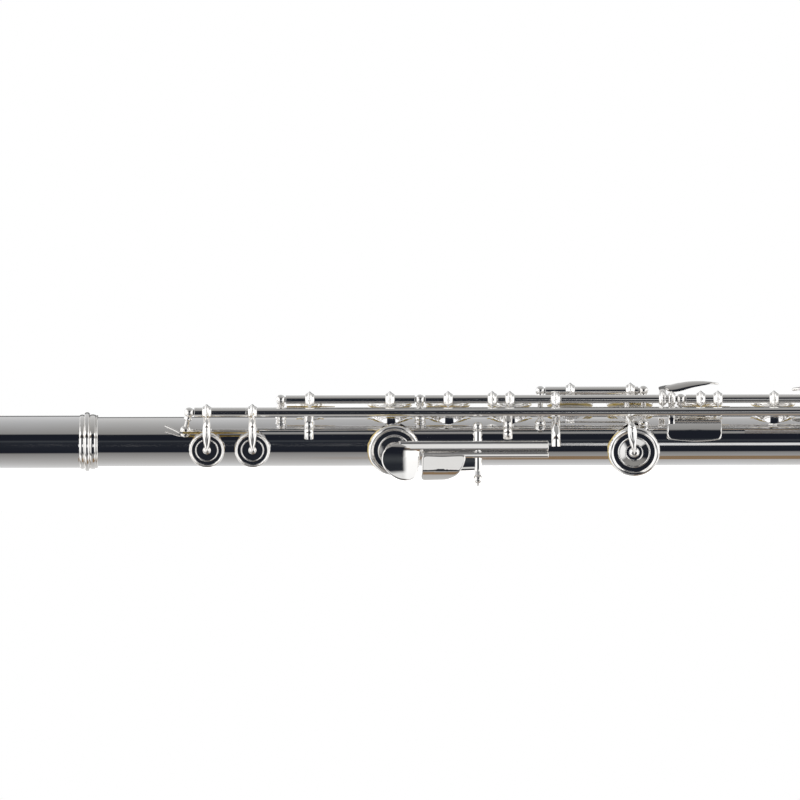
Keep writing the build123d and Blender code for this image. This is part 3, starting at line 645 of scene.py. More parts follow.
def key_with_cups(start, end, rod, cups, lift, arm_lift):
    """A hinge tube, and for each cup a hub and a pointed arm to the cup's middle."""
    shape = Shape()
    add_tube(shape, start, end, rod, HINGE_TUBE, lift)
    across, up = MAIN_ROD
    for cup in cups:
        add_hub(shape, cup[0], rod, matrix=lift)
        shape.arm(along(cup[0]), [
            (across, up + 1.2, 1.2, 1.1), (-11.6, 17.2, 1.4, 1.1), (-9, 16.1, 1.65, 1.1),
            (-6, 15.4, 1.5, 1), (-3, 15.1, 1.05, 0.85), (-0.6, 15, 0.6, 0.7),
            (0.5, 14.9, 0.25, 0.45),
        ], arm_lift, 1.4)
        add_cup(shape, cup, lift)
    return shape


def ball_on(height):
    """The points of a ball at the top of a turned stem."""
    steps = 14
    points = []
    for i in range(steps + 1):
        angle = (pi - 0.75) * (1 - i / steps)
        points.append((height + BALL * cos(angle), max(BALL * sin(angle), POINT)))
    return points


def add_post(shape, station, rod, base_elevation, base_radius, lean=0):
    """A turned post: flange, swelling base, waist, bead and ball."""
    base = around(base_elevation, base_radius - 0.1)
    outward = around(base_elevation, 1)
    x = along(station)
    top = (x, *rod)
    x += lean
    flange_top = (x, base[0] + outward[0], base[1] + outward[1])
    flange = soft([(0, POINT), (0, 2.1), (0.45, 2.05), (0.8, 1.7), (1, POINT)], 0.2, 3)
    shape.lathe(flange, pointing((x, *base), flange_top), 40)
    height = (Vector(top) - Vector(flange_top)).length
    bead = height - BALL - 0.75
    stem = [
        (-0.6, POINT), (-0.6, 1.3), (-0.2, 1.9), (0.5, 2.3), (1.3, 2.2), (1.9, 1.6), (2.4, 1.05),
        (bead - 0.9, 1), (bead - 0.65, 1.35), (bead, 1.65), (bead + 0.6, 1.35),
    ]
    shape.lathe(stem + ball_on(height), pointing(flange_top, top), 40)


def add_stud(shape, first, last, base, tip):
    """A straight stud from a wall to a ball."""
    height = (Vector(last) - Vector(first)).length
    stem = [(0, POINT), (0, base + 0.6), (0.5, base + 0.45), (1.1, base),
            (height - BALL - 0.3, tip)]
    shape.lathe(stem + ball_on(height), pointing(first, last), 40)


def add_plate(shape, outline, place, thickness, edge, matrix=STILL):
    """A thin bent plate with rolled edges; place(u, v, h) puts a point in space."""
    outline = even(outline)
    middle_u = sum(p[0] for p in outline) / len(outline)
    middle_v = sum(p[1] for p in outline) / len(outline)

    def ring(scale, inset, height):
        points = []
        for u, v in outline:
            du = u - middle_u
            dv = v - middle_v
            t = scale * max(1 - inset / hypot(du, dv), 0)
            points.append(place(middle_u + du * t, middle_v + dv * t, height))
        return points

    edge = min(edge, thickness / 2)
    scales = [0.004, 0.15, 0.3, 0.45, 0.6, 0.75, 0.88, 0.96, 1]
    rings = [ring(scale, edge, thickness) for scale in scales]
    steps = 8
    for i in range(1, steps):
        angle = pi * i / steps
        level = thickness / 2 + (thickness / 2) * cos(angle)
        rings.append(ring(1, edge * (1 - sin(angle)), level))
    rings += [ring(scale, edge, 0) for scale in reversed(scales)]
    shape.rings(rings, matrix)


# The tubes

def bead_profile(start, beads, inner):
    """A row of beads of (half width, radius) side by side on a sleeve."""
    depth = 0.5
    steps = 7
    outline = [(start, inner)]
    place = start
    for half_width, radius in beads:
        outline.append((place, radius - depth))
        for i in range(steps):
            angle = pi * (i + 0.5) / steps
            outline.append((place + half_width * (1 - cos(angle)),
                            radius - depth + depth * sin(angle)))
        outline.append((place + 2 * half_width, radius - depth))
        place += 2 * half_width
    outline.append((place, inner))
    return outline


def wall_radius(station, full):
    """The head joint narrows from the barrel towards the crown; the rest is straight."""
    narrow = EMBOUCHURE + 40
    wide = EMBOUCHURE + 60
    step = 0.1
    if station >= narrow:
        return full - step * max(wide - station, 0) / (wide - narrow)
    low = 9.2 if full == TUBE else 8.75
    return low + (full - step - low) * (station - HEAD_START) / (narrow - HEAD_START)


def thin_wall(start, end, parts):
    """Along the outside of a tube and back along its inside."""
    stations = [start + (end - start) * i / parts for i in range(parts + 1)]
    outline = [(station, wall_radius(station, TUBE)) for station in stations]
    return outline + [(station, wall_radius(station, BORE)) for station in reversed(stations)]


def barrel_pieces():
    start = -36
    end = -3.6
    outline = soft(cylinder(start, end, BARREL, TENON), 0.2, 3)
    shell = Shape().turned(guard(outline, start + 0.5, end - 0.5, BARREL))
    shell.piece("barrel_shell", TUBE_SILVER, "body", "barrel")
    beads = [(1, 10.95), (0.95, 11.85), (1.3, 11), (0.4, 10.7)]
    ring = Shape().turned(bead_profile(-3.65, beads, TUBE + 0.05))
    ring.piece("barrel_ring_beads", KEY_SILVER, "body", "barrel_ring", angle=50)


def add_chimney(shape, station, elevation, inner):
    """A drawn chimney that grows out of the tube in a fillet and ends in a rolled rim."""
    thickness = 0.5
    flare = 1.1
    roll = 0.32
    angles = [2 * pi * i / 72 for i in range(72)]
    rings = []

    def ring(radius, lift, wall=0):
        """A level ring, or one that lies on the tube's round wall, lifted."""
        points = []
        for angle in angles:
            aside = min(radius, 9.6) * sin(angle)
            height = sqrt(max(wall ** 2 - aside ** 2, 0)) + lift
            points.append((radius * cos(angle), radius * sin(angle), height))
        rings.append(points)

    for i in range(6):
        angle = pi / 2 * i / 5
        radius = inner + thickness + flare * (1 - sin(angle))
        ring(radius, flare * (1 - cos(angle)), TUBE + 0.01)
    for i in range(9):
        angle = -pi / 2 + pi * 1.5 * i / 8
        ring(inner + thickness - 0.1 + roll * cos(angle), CHIMNEY_TOP - roll + roll * sin(angle))
    ring(inner, CHIMNEY_TOP - 0.5)
    ring(inner, 0, BORE - 0.02)
    ring(inner + 0.4, 0, BORE - 0.02)
    shape.rings(rings, seat(station, elevation), closed=True)


def pierced_tube(name, start, end, cups, body, node):
    """A thin tube cut at its tone holes, with a chimney round each."""
    tube = Shape().turned(thin_wall(start, end, 40), 128)
    piece = tube.piece(name, TUBE_SILVER, body, node, angle=60)
    cutter = Shape()
    chimneys = Shape()
    for station, elevation, radius in cups.values():
        inner = radius - CUP_OVERHANG
        cutter.lathe([(3, inner + 0.2), (14, inner + 0.2)], seat(station, elevation), 72)
        add_chimney(chimneys, station, elevation, inner)
    cut_away(piece, cutter)
    chimneys.piece(name + "_chimneys", TUBE_SILVER, body, angle=60)


# Head joint

def head_pieces():
    tube = Shape().turned(thin_wall(HEAD_START, -7, 60))
    piece = tube.piece("head_wall", TUBE_SILVER, "headjoint", "head_tube", angle=60)
    hole = oval((along(EMBOUCHURE), 0), 6.3, 5.4, 2.6)
    cutter = Shape().rings([[(u, v, height) for u, v in hole] for height in (5, 14)])
    cut_away(piece, cutter)
    lip = lip_plate()
    lip.piece("lip_plate_and_riser", KEY_SILVER, "headjoint", "lip_plate", "embouchure_riser",
              angle=50)


def lip_plate():
    """Top, rolled edge, underside, riser and hole wall in one lofted skin."""
    top = 14.4
    curve = 15
    thickness = 1.1
    lip_edge = 0.3
    rim_middle = -1.5
    count = 128
    x = along(EMBOUCHURE)

    def hole(grow):
        return oval((0, 0), 6.1 + grow, 5.2 + grow, 2.6, count)

    riser = oval((0, 0), 7, 6.1, 2.5, count)
    wide_riser = oval((0, 0), 7.9, 7, 2.4, count)
    rim = oval((0, rim_middle), 21, 12.4, 2.15, count)

    def sheet(u, v, drop):
        r = curve - drop
        return (x + u, v, top - curve + sqrt(r * r - v * v))

    def tube(u, v, extra):
        r = wall_radius(EMBOUCHURE + u, TUBE) + extra
        return (x + u, v, sqrt(max(r * r - v * v, POINT)))

    def mix(first, second, t):
        pairs = zip(first, second)
        return [(a[0] + (b[0] - a[0]) * t, a[1] + (b[1] - a[1]) * t) for a, b in pairs]

    def inset(amount):
        out = []
        for u, v in rim:
            t = 1 - amount / hypot(u, v - rim_middle)
            out.append((u * t, (v - rim_middle) * t + rim_middle))
        return out

    rings = []

    def ring(points, surface, height):
        rings.append([surface(u, v, height) for u, v in points])

    for i in range(4):
        angle = pi / 2 * i / 3
        ring(hole(lip_edge * (1 - cos(angle))), sheet, lip_edge * (1 - sin(angle)))
    last = inset(thickness / 2)
    for i in range(1, 25):
        ring(mix(hole(lip_edge), last, i / 24), sheet, 0)
    for i in range(1, 8):
        angle = pi * i / 8
        edge = inset(thickness / 2 * (1 - sin(angle)))
        ring(edge, sheet, thickness / 2 * (1 - cos(angle)))
    for i in range(13):
        ring(mix(last, wide_riser, i / 12), sheet, thickness)
    ring(mix(wide_riser, riser, 0.75), sheet, thickness + 0.25)
    for i in range(1, 5):
        wall = []
        for u, v in riser:
            upper = sheet(u, v, thickness + 0.4)
            lower = tube(u, v, 0.4)
            wall.append((upper[0], upper[1], upper[2] + (lower[2] - upper[2]) * i / 5))
        rings.append(wall)
    ring(mix(riser, wide_riser, 0.25), tube, 0.25)
    ring(wide_riser, tube, 0.02)
    ring(wide_riser, tube, -0.25)
    ring(hole(0), tube, -0.4)
    return Shape().rings(rings[::-1], closed=True)


def crown_piece():
    outline = [
        (0, POINT), (0.1, 5), (0.5, 7.6), (1.4, 9.1), (2.8, 9.5), (3.5, 9.25), (4.1, 9.75),
        (4.9, 9.85), (5.5, 9.5), (5.9, 9.2), (5.9, 8.6), (11, 8.6), (11, 1.8), (3, 1.8),
        (3, POINT),
    ]
    outline = [(CROWN_END + place, radius) for place, radius in outline]
    Shape().turned(soft(outline, 0.5, 5)).piece("crown_cap", KEY_SILVER, "crown", "crown", angle=50)


def stopper_pieces():
    face = -182
    plug = Shape().turned(soft(cylinder(face - 7.95, face - 1.05, 8.75), 0.4), 96)
    plug.piece("stopper_cork_plug", CORK, "stopper", "stopper_cork")
    plate = Shape().turned(soft(cylinder(face - 1, face, 8.6), 0.2), 96)
    plate.piece("stopper_disc", TUBE_SILVER, "stopper", "stopper_plate")
    thread = [(CROWN_END + 5.5, POINT), (CROWN_END + 5.5, 1.4)]
    place = CROWN_END + 6
    while place < face - 9.2:
        thread += [(place, 1.45), (place + 0.4, 1.75), (place + 0.8, 1.45)]
        place += 1
    thread += [(face - 9.1, 1.5), (face - 9.1, 8.2), (face - 8, 8.2), (face - 8, POINT)]
    screw = Shape().turned(thread, 48)
    screw.piece("stopper_thread", STEEL_GREY, "stopper", "stopper_screw", angle=25)


# Keys

def finger_key(name, start, end, cups, clutch_hubs=()):
    """An open key: its cups are seated on top, then turned to the elevation of their holes."""
    tilt = turn_x(TOP - CUPS[cups[0]][1])
    lift = tilt @ swing(MAIN_ROD, KEY_OPEN)
    upright = [(CUPS[cup][0], TOP, CUPS[cup][2]) for cup in cups]
    shape = key_with_cups(start, end, MAIN_ROD, upright, lift, lift)
    for station in clutch_hubs:
        add_hub(shape, station, MAIN_ROD, matrix=lift)
    shape.piece(name + "_key_metal", KEY_SILVER, name, name + "_key")
    pad_piece(name, upright, lift)


def trill_cup(name, start, end):
    """The left end of a trill key: its tube, and a closed cup on a pointed arm."""
    shape = Shape()
    cup = CUPS[name]
    add_tube(shape, start, end, TRILL_ROD, TRILL_TUBE)
    add_hub(shape, cup[0], TRILL_ROD)
    across, up = seen_from_seat(TRILL_ROD, TRILL_SIDE)
    shape.arm(0, [
        (across + 0.4, up + 0.5, 1.3, 1.1), (across - 1.8, up + 0.9, 1.25, 1.1),
        (11, SEAT + 2.7, 1.4, 1.1), (7.9, SEAT + 3.95, 1.65, 1.1), (4, SEAT + 3.7, 1.35, 0.95),
        (1.2, SEAT + 3.3, 0.8, 0.8), (-0.3, SEAT + 3.1, 0.3, 0.45),
    ], seat(*cup[:2]), 1.4)
    add_cup(shape, cup)
    return shape


def trill_touch(shape, hub):
    """A dished paddle over the tube, on an arm that climbs from its hub."""
    middle = hub + 1
    paddle_across = -5
    add_hub(shape, hub, TRILL_ROD)
    shape.arm(along(hub), [
        (-15, 12.4, 1.5, 0.8), (-17.3, 13.6, 1.6, 0.75), (-17.8, 16.4, 1.6, 0.7),
        (-17, 18.8, 1.6, 0.7), (-14.6, 20.6, 1.6, 0.65), (-9, 21, 1.6, 0.6),
        (-3.4, 21, 1.3, 0.5),
    ])

    def place(u, v, h):
        dish = 0.012 * ((u - middle) ** 2 + (v - paddle_across) ** 2)
        return (along(u), v, 20.45 + h - dish)

    add_plate(shape, oval((middle, paddle_across), 8, 4.2, 2.2), place, 1.25, 0.55)


def trill_keys():
    near = trill_cup("d_sharp_trill", 42.35, 62.9)
    near.piece("d_sharp_trill_metal", KEY_SILVER, "d_sharp_trill", "d_sharp_trill_cup")
    paddle = Shape()
    add_tube(paddle, 300.3, 321.5, TRILL_ROD, TRILL_TUBE)
    trill_touch(paddle, 317)
    paddle.piece("d_sharp_trill_paddle", KEY_SILVER, "d_sharp_trill", "d_sharp_trill_touch")
    whole = trill_cup("d_trill", 63, 300.2)
    trill_touch(whole, 288)
    whole.piece("d_trill_metal", KEY_SILVER, "d_trill", "d_trill_key")
    for name in ("d_sharp_trill", "d_trill"):
        pad_piece(name, [CUPS[name]])


def g_sharp_key():
    shape = Shape()
    hub = 229.2
    add_tube(shape, 188.65, 231.2, MAIN_ROD, HINGE_TUBE)
    add_hub(shape, hub, MAIN_ROD, 1.5)
    add_cup(shape, CUPS["g_sharp"])
    across, up = seen_from_seat(MAIN_ROD, G_SHARP_SIDE)
    shape.strap([
        (-3, across + 0.2, up, 1, 0.9), (-3, 16.6, 5.6, 1, 0.85),
        (-2.8, 13.4, 5.9, 0.9, 0.85), (-2.4, 12, 8.4, 0.8, 0.8),
        (-1.28, 11.9, SEAT + 1, 1.1, 0.9), (-0.96, 10.3, SEAT + 3.3, 1.8, 1.1),
        (-0.64, 6.5, SEAT + 3.75, 1.65, 1), (-0.32, 3, SEAT + 3.5, 1.1, 0.85),
        (0, 0.6, SEAT + 3.3, 0.6, 0.6), (0, -0.4, SEAT + 3.2, 0.25, 0.45),
    ], matrix=seat(*CUPS["g_sharp"][:2]), power=1.4)
    x = along(hub)
    shape.strap([
        (x, -12.6, 18.2, 1.3, 0.8), (x, -9.6, 19.9, 1.3, 0.75), (x, -4, 20.7, 1.3, 0.7),
        (x, 4, 20.9, 1.3, 0.7), (x + 0.2, 10, 21.1, 1.3, 0.65),
        (x + 1.6, 13, 21.6, 1.3, 0.5), (x + 3.4, 14, 22, 1.2, 0.4),
    ])

    def place(u, v, h):
        arch = 0.012 * (u - 244) ** 2
        roll = 0.95 * max(11.6 - v, 0) ** 2 + 0.02 * max(v - 14.5, 0) ** 2
        return (along(u), v, 23.05 + h - arch - roll)

    corners = [(229.6, 12.4), (231.2, 10.1), (236, 9.75), (242, 10.1), (248, 10.6),
               (252.4, 12.2), (252.2, 15.4), (247, 17.6), (238, 18.3), (231.6, 17.6),
               (229.4, 15.2)]
    add_plate(shape, rounded(corners, 2.5), place, 0.8, 0.4)
    shape.piece("g_sharp_metal", KEY_SILVER, "g_sharp", "g_sharp_key")
    pad_piece("g_sharp", [CUPS["g_sharp"]], shift(-0.6, 0, 0))


def side_lever():
    """A touch that lies round the tube's near side, on a short tube."""
    shape = Shape()
    add_tube(shape, 231.3, 234.3, MAIN_ROD, HINGE_TUBE)
    add_hub(shape, 232.8, MAIN_ROD, 1.5)

    def place(u, v, h):
        reach = 13.7 + h
        return (along(u), -sqrt(max(reach ** 2 - v * v, POINT)), v)

    corners = [(231, 0.9), (235.6, 0.1), (242.4, -0.4), (249.3, 0), (252.7, 0.9),
               (252.9, 9.2), (233.4, 10.2), (231.1, 8)]
    add_plate(shape, rounded(corners, 1.8), place, 1.05, 0.5)
    shape.arm(along(232.7), [
        (-13.2, 14.6, 1.2, 0.8), (-12.1, 11.8, 1.25, 0.7), (-12.2, 9.2, 1.3, 0.6),
        (-12.9, 6.6, 1.3, 0.55),
    ])
    shape.piece("side_lever_metal", KEY_SILVER, "side_lever", "side_lever")


def b_flat_link():
    """The arm that the two thumb bars reach to close the B flat cup."""
    shape = Shape()
    add_tube(shape, 184.6, 188.5, MAIN_ROD, HINGE_TUBE)
    add_hub(shape, 186.5, MAIN_ROD)
    shape.arm(along(186.6), [
        (-12, 16, 1.5, 0.8), (-10.2, 12.4, 1.6, 0.75), (-10.9, 8.6, 1.6, 0.75),
        (-12.8, 5, 1.7, 0.95), (-14.2, 1.5, 1.7, 0.95), (-14.6, -2.2, 1.7, 0.9),
    ], power=1.6)
    shape.piece("b_flat_link_metal", KEY_SILVER, "b_flat", "b_flat_link")


# Thumb keys

UPRIGHT = 0.14  # slope of the nearly upright faces


def leaning(station):
    """How far the thumb keys' faces, turned a little to the right, fall back."""
    return 0.014 * (station - 150)


def spooned(u, v, h):
    """The thumb touch: it falls away to the right and at the top."""
    fall = 0.014 * (u - 119) ** 2 + 0.010 * (v + 8) ** 2 + 0.05 * max(v + 4, 0) ** 2
    return (along(u), -17.2 - h + fall, v)


def roofed(u, v, h):
    """A plate with a nearly upright face over its ridge, and a face that leans back under it."""
    above = UPRIGHT * (-11.6 - v)
    under = max(-11.9 - v, 0)
    below = 0.72 * under + 0.094 * under ** 2
    return (along(u), -16.1 - h + above + below + leaning(u), v)


def ridged_bar(shape, start, end, high, low, front, matrix):
    """A straight bar with an upright face and a face that leans back under it."""
    back = front + 1.9
    core = front + 1
    ridge = low + 0.22 * (high - low)
    ridge_depth = front + UPRIGHT * (high - 0.5 - ridge)
    section = soft([
        (high, back), (high, front + 0.55), (high - 0.5, front), (ridge, ridge_depth),
        (low, ridge_depth + 0.95 * (ridge - low)), (low, back),
    ], 0.18, 3)
    middle = (high + low) / 2
    ends = [(0, 0.8), (0.1, 0.94), (0.3, 1), (0.8, 1)]
    places = [(start + inward, scale) for inward, scale in ends]
    places += [(end - inward, scale) for inward, scale in reversed(ends)]
    rings = []
    for station, scale in places:
        x = along(station)
        depth = core + leaning(station)
        rings.append([(x, depth + (across - core) * scale, middle + (up - middle) * scale)
                      for up, across in section])
    shape.rings(rings, matrix)


def thumb_hinge(shape, low, high):
    tube = soft(cylinder(low, high, THUMB_TUBE), 0.15, 3)
    shape.lathe(tube, shift(THUMB_X, THUMB_ACROSS, 0))


def thumb_keys():
    lift = about((THUMB_X, THUMB_ACROSS, 0), Matrix.Rotation(radians(THUMB_OPEN), 4, "Z"))
    key = Shape()
    add_cup(key, CUPS["thumb"], lift)
    corners = [
        (116.4, -7.5), (117.2, -4), (119.6, -1.6), (123.6, -0.3), (131.8, -0.2),
        (132.2, -4.2), (132, -9), (131.2, -13.2), (128.8, -15.6), (124.4, -15.7),
        (120.6, -13.8), (117.6, -10.8),
    ]
    add_plate(key, rounded(corners, 2.2), spooned, 1.2, 0.5, lift)
    ridged_bar(key, 124, 183.6, 0.1, -4.1, -16.9, lift)
    thumb_hinge(key, -4.1, 3.9)
    key.arm(0, [(3, SEAT + 2.2, 3.6, 0.8), (1.4, SEAT + 4.2, 3.2, 0.8),
                (0.2, SEAT + 5.2, 2.6, 0.7)], lift @ seat(124, THUMB_SIDE))
    key.piece("thumb_key_metal", KEY_SILVER, "thumb", "thumb_key")
    pad_piece("thumb", [CUPS["thumb"]], lift @ shift(-0.6, 0, 0))
    lever = Shape()
    corners = [(132.7, -15.6), (132.7, -5.6), (150.6, -5.6), (149.6, -9.6), (147.2, -13.6),
               (143.2, -15.4)]
    add_plate(lever, rounded(corners, 1.6), roofed, 1.2, 0.5, lift)
    ridged_bar(lever, 133.2, 183.6, -4.4, -6.7, -16.7, lift)
    thumb_hinge(lever, -12.1, -4.25)
    rows = [(along(147.5), -15.2, -8.4, 3.4, 0.5), (along(154.8), -15.2, -8.2, 3.4, 0.5)]
    lever.strap(rows, (0, 0, 1), lift)
    lever.piece("thumb_lever_metal", KEY_SILVER, "thumb_lever", "thumb_lever")


# Posts and springs

def add_cradle(shape, station):
    """A strap from the rib that curls round the back of the long trill tube."""
    route = [
        (6, 10.4, 1.8, 0.95), (14, 11.2, 1.8, 0.95), (22, 11.4, 1.8, 0.95), (30, 11.5, 1.8, 0.95),
        (37, 12.6, 1.8, 0.95), (40, 15, 1.8, 0.6), (42, 17.2, 1.7, 0.5),
    ]
    rows = [(*around(elevation, radius), *half) for elevation, radius, *half in route]
    shape.arm(along(station), rows, power=1.6)


def post_pieces():
    shape = Shape()
    for station in (76.8, 132.4, 341.8):
        add_post(shape, station, MAIN_ROD, 52, RIB_TOP)
    add_post(shape, 236.4, MAIN_ROD, 58, TUBE)
    for station in (180.4, 221.6):
        add_post(shape, station, G_ROD, 33, RIB_TOP)
    shape.piece("key_posts_turned", KEY_SILVER, "body", "key_posts")
    trill = Shape()
    add_post(trill, 40.3, TRILL_ROD, 22, TUBE, lean=-1.6)
    add_post(trill, 323.6, TRILL_ROD, 28, RIB_TOP)
    for station in (88, 167.4):
        add_cradle(trill, station)
    trill.piece("trill_posts_turned", KEY_SILVER, "body", "trill_posts")
    thumb = Shape()
    add_stud(thumb, (THUMB_X, -9, 5.75), (THUMB_X, THUMB_ACROSS, 5.9), 1.3, 1.1)
    add_stud(thumb, (THUMB_X, -5, -8.1), (THUMB_X, THUMB_ACROSS, -15), 1.1, 1)
    tip = soft([(-2.2, POINT), (-2.2, 0.5), (0.6, 1.2), (0.6, POINT)], 0.3)
    thumb.lathe(tip, shift(THUMB_X, THUMB_ACROSS, -15.75), 32)
    thumb.piece("thumb_posts_turned", KEY_SILVER, "body", "thumb_posts")


def spring(shape, points, radius=0.3, taper=0.45):
    """A needle spring through (station, across, up) points, tapered in its last stretch."""
    sizes = [radius] * (len(points) - 1) + [radius * taper]
    rows = [(along(s), across, up, size, size) for (s, across, up), size in zip(points, sizes)]
    shape.strap(rows, (0, 1, 0), power=2, corners=14)


def spring_pieces():
    shape = Shape()
    spring(shape, [(37.4, -12.5, 3.6), (50, -12.4, 3.5), (66, -12.3, 3.5)], 0.42)
    spring(shape, [(79.2, -10.6, 13.9), (88, -10.6, 13.9), (98.4, -10.6, 13.9)])
    spring(shape, [(134.8, -11, 13.6), (143, -10.95, 13.7), (152, -10.9, 13.8)])
    spring(shape, [(239, -11, 13.6), (247, -11, 13.6), (256, -11, 13.6)])
    shape.piece("needle_springs_drawn", GILT, "body", "needle_springs")
    plain = Shape()
    bent_end = [(37.6, -12.5, 3.6), (36.2, -12.45, 3.8), (34, -12, 4.9), (30.6, -11.2, 6.5)]
    spring(plain, bent_end, 0.45, 1.2)
    spring(plain, [(station, *around(20, 10.95)) for station in (262, 300, 338)])
    plain.piece("plain_springs_drawn", KEY_SILVER, "body", "needle_springs")


# Foot joint

def foot_pieces():
    start = 344.2
    end = 357.4
    socket = Shape().turned(soft(cylinder(start, end, BARREL, TENON), 0.15, 3))
    socket.turned(bead_profile(start, [(0.9, 11.2), (0.9, 11.8), (0.9, 11.2)], BARREL - 0.2))
    socket.piece("foot_socket_sleeve", KEY_SILVER, "foot", "foot_socket", angle=50)
    ring = Shape().turned(bead_profile(FOOT_END - 3.7, [(0.8, 10.6), (1, 11.1)], TUBE + 0.01))
    ring.piece("foot_end_beads", KEY_SILVER, "foot", "foot_end_ring", angle=50)
    posts = Shape()
    for station in (359.2, 379):
        add_post(posts, station, MAIN_ROD, 52, TUBE)
    for station in (383.4, 448.6):
        add_post(posts, station, FAR_ROD, 128, TUBE)
    posts.piece("foot_posts_turned", KEY_SILVER, "foot", "foot_posts")


def d_sharp_key():
    """The closed key of the foot, with its touch towards the player."""
    cup = FOOT_CUPS["foot_d_sharp"]
    touch = 371.5
    shape = key_with_cups(361.25, 376.95, MAIN_ROD, [cup], STILL, STILL)
    shape.arm(along(touch), [(-14, 16.2, 1.9, 0.8), (-17, 16, 1.9, 0.7),
                             (-20, 16.3, 1.9, 0.6), (-25, 17.7, 1.7, 0.5)])

    def place(u, v, h):
        rise = 0.25 * (-18 - v)
        return (along(u), v, 15.3 + rise + h - 0.01 * (u - touch) ** 2)

    add_plate(shape, oval((touch, -23), 9.5, 4.2, 2.8), place, 1.2, 0.55)
    shape.piece("foot_d_sharp_metal", KEY_SILVER, "foot_d_sharp", "foot_d_sharp_key")
    pad_piece("foot_d_sharp", [cup])


# The low C keys turn on the far rod and reach over the tube to their rollers.
FOOT_LIFT = swing(FAR_ROD, -KEY_OPEN)
ROLLER_SPAN = (383.2, 393.4)
ROLLER_AXES = {"foot_c_sharp": (-20.5, 15.8), "foot_c": (-24.6, 15.8)}


def low_key(name, start, end, lever, reach):
    cup = FOOT_CUPS[name]
    mirrored = FOOT_LIFT @ Matrix.Scale(-1, 4, (0, 1, 0))
    shape = key_with_cups(start, end, FAR_ROD, [cup], FOOT_LIFT, mirrored)
    shape.arm(along(lever), [
        (13.8, 18, 1.3, 0.8), (9, 18.8, 1.3, 0.7), (4, 18.8, 1.3, 0.65),
        (-5, 17.6, 1.3, 0.65), (-12, 16.4, 1.3, 0.65), (-16.4, 15.75, 1.3, 0.65),
        (reach, 15.7, 1.3, 0.65),
    ], FOOT_LIFT)
    add_fork(shape, name)
    shape.piece(name + "_metal", KEY_SILVER, name, name + "_key")
    pad_piece(name, [cup], FOOT_LIFT)


def add_fork(shape, name):
    """Two cheeks, a beam and a pin that hold the roller."""
    start, end = ROLLER_SPAN
    across, up = ROLLER_AXES[name]
    toward, last = (1, end + 1.1) if name == "foot_c_sharp" else (-1, 413.5)
    for station in (start - 0.65, end + 0.65):
        shape.arm(along(station), [
            (across - toward * 1.2, up - 0.1, 0.5, 0.9),
            (across + toward * 1.5, up - 0.15, 0.5, 1),
            (across + toward * 4.6, up - 0.15, 0.5, 0.95),
        ], FOOT_LIFT, 4)
    beam = (across + toward * 3.55, up - 0.15, 1.25, 0.95)
    rows = [(along(station), *beam) for station in (start - 1.1, 389, last)]
    shape.strap(rows, (0, 1, 0), FOOT_LIFT, power=4)
    pin = cylinder(-1, end - start + 1, 0.6)
    shape.lathe(pin, FOOT_LIFT @ on_rod(start, (across, up)), 24)


def rollers():
    start, end = ROLLER_SPAN
    half = [(0, 0.66), (0, 1.2), (0.8, 1.75), (2.5, 1.9)]
    outline = half + [(end - start - place, radius) for place, radius in reversed(half)]
    for name, axis in ROLLER_AXES.items():
        node = name.removeprefix("foot_") + "_roller"
        place = FOOT_LIFT @ on_rod(start, axis)
        roller = Shape().lathe(soft(outline, 0.4), place, 64, closed=True)
        roller.piece(node + "_turned", KEY_SILVER, node, node)


def cad_finishes():
    """The nodes whose CAD shape is shown as it is."""
    steels = ["fixed_steels", "b_flat_steel", "f_sharp_steel", "trill_steel", "foot_steels"]
    for node in ["rib", *steels]:
        material = TUBE_SILVER if node == "rib" else STEEL_GREY
        obj = frame["nodes"][node]
        obj.data.materials.clear()
        give_look(obj.data, material, 35)


# Studio

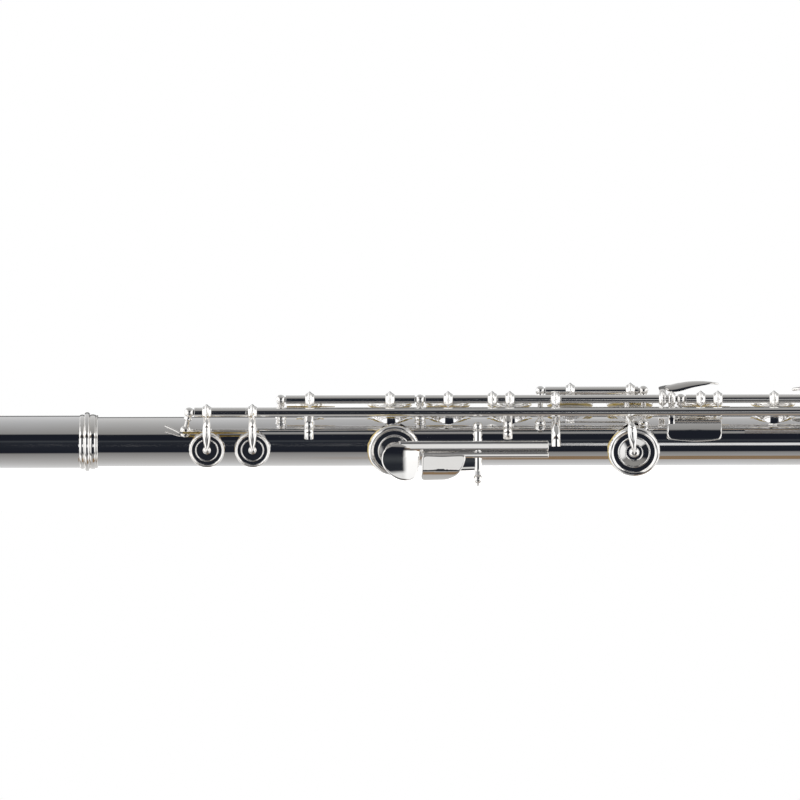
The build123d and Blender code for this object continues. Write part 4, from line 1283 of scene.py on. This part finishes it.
def world():
    """Surroundings for the silver: dark and bright bands, windows at both sides, one brown line."""
    graph = Graph(bpy.data.worlds.new("studio"))
    bpy.context.scene.world = graph.owner
    graph.nodes.clear()
    math = graph.math
    between = graph.between
    mix = graph.mix
    generated = graph.nodes.new("ShaderNodeTexCoord").outputs["Generated"]
    across, depth, up = graph.node("ShaderNodeSeparateXYZ", {0: generated}).outputs
    elevation = math("ARCTAN2", up, math("MULTIPLY", depth, -1))
    degrees = math("MULTIPLY", elevation, 180 / pi)
    turn = math("ADD", math("MULTIPLY", degrees, 1 / 360), 0.5)

    def room(levels):
        """Brightness by elevation: 0 towards the camera, 90 overhead, 180 behind the flute."""
        return graph.ramp(turn, [((angle + 180) / 360, colour) for angle, colour in levels])

    black = (0.012, 0.014, 0.021)
    sky = room([
        (-180, 1), (-150, 0.72), (-100, (0.46, 0.455, 0.45)), (-54, (0.24, 0.235, 0.23)),
        (-49, black), (-3, (0.02, 0.023, 0.03)), (2, (0.05, 0.055, 0.062)), (8, black),
        (32, black), (36, (0.27, 0.265, 0.26)), (90, 0.45), (136, 0.62), (146, 0.6), (152, 0.16),
        (180, 0.16),
    ])
    right = between(across, 0.0125, 1, 0.002)
    bright_line = math("MULTIPLY", right, between(degrees, -23, -9, 3))
    sky = mix(bright_line, sky, rgba(0.8))
    right_half = between(across, 0.0008, 1, 0.0008)
    brown_line = math("MULTIPLY", right_half, between(degrees, -98, -74, 2.5))
    sky = mix(brown_line, sky, rgba((0.25, 0.17, 0.10)))
    windows = room([
        (-180, 1), (-124, 0.95), (-118, 0.25), (-98, (0.30, 0.22, 0.15)), (-92, 1.15),
        (-66, 1.15), (-62, 0.06), (-55, 0.06), (-50, 0.88), (0, 1.1), (15, 1.4), (19, 0.12),
        (29, (0.24, 0.18, 0.13)), (34, 1.45), (84, 1.3), (90, 0.25), (100, 0.35), (106, 1),
        (180, 1),
    ])
    overhead = math("MULTIPLY", between(degrees, 36, 150, 20), 0.35)
    leftward = math("MULTIPLY", across, -1)
    left = between(math("SUBTRACT", leftward, overhead), 0.25, 2, 0.08)
    far_right = between(math("SUBTRACT", across, overhead), 0.46, 2, 0.08)
    sky = mix(math("MAXIMUM", left, far_right), sky, windows)
    aside = between(math("ABSOLUTE", across), 0.72, 2, 0.1)
    sky = mix(math("MULTIPLY", aside, 0.6), sky, rgba(1.5))
    seen = graph.nodes.new("ShaderNodeLightPath").outputs["Is Camera Ray"]
    background = graph.node("ShaderNodeBackground", {"Color": mix(seen, sky, rgba(1))})
    graph.node("ShaderNodeOutputWorld", {"Surface": background.outputs[0]})


def camera():
    """Level with the flute and far away, so that the view is 320 mm wide and nearly flat."""
    distance = 5
    width = 0.320
    view_middle = 124.4
    data = bpy.data.cameras.new("camera")
    data.sensor_width = 36
    data.lens = data.sensor_width * distance / width
    data.clip_start = 0.01
    obj = new_object("camera", data)
    obj.location = (along(view_middle) * MM, -distance, 0.0165)
    obj.rotation_euler = (pi / 2, radians(0.12), 0)
    bpy.context.scene.camera = obj


def light():
    """One softbox in front of the flute and above it."""
    data = bpy.data.lights.new("softbox", "AREA")
    data.shape = "RECTANGLE"
    data.size = 1.2
    data.size_y = 0.6
    data.energy = 6
    obj = new_object("softbox", data)
    obj.location = (-0.4, -0.5, 0.9)
    aim = Vector((-0.3, 0, 0)) - obj.location
    obj.rotation_euler = aim.to_track_quat("-Z", "Y").to_euler()
    obj.visible_glossy = False


def floor():
    """A plain white floor under the flute."""
    height = min(corner[2] for corner in cad_box) - 0.0005
    front = -1
    reach = 3
    mesh = bpy.data.meshes.new("floor")
    corners = [(-reach, front), (reach, front), (reach, reach), (-reach, reach)]
    mesh.from_pydata([(x, y, height) for x, y in corners], [], [(0, 1, 2, 3)])
    graph = new_surface("floor white")
    mesh.materials.append(graph.shader({
        "Base Color": rgba(0.9), "Roughness": 0.9, "Emission Color": rgba(1),
        "Emission Strength": 1,
    }))
    obj = new_object("floor", mesh)
    obj.visible_glossy = False
    obj.visible_diffuse = False
    obj.visible_shadow = False


bpy.context.scene.view_settings.view_transform = "Standard"

head_pieces()
crown_piece()
stopper_pieces()
barrel_pieces()
pierced_tube("body_wall", -1, 356.4, CUPS, "body", "body_tube")
pierced_tube("foot_wall", 357.5, FOOT_END, FOOT_CUPS, "foot", "foot_tube")
post_pieces()
spring_pieces()
trill_keys()
for name, key in FINGER_KEYS.items():
    finger_key(name, *key)
b_flat_link()
side_lever()
g_sharp_key()
thumb_keys()
foot_pieces()
d_sharp_key()
low_key("foot_c_sharp", 385.5, 407, 387.3, -17)
low_key("foot_c", 407.1, 446.5, 412.9, -28.4)
rollers()
cad_finishes()
world()
light()
floor()
camera()
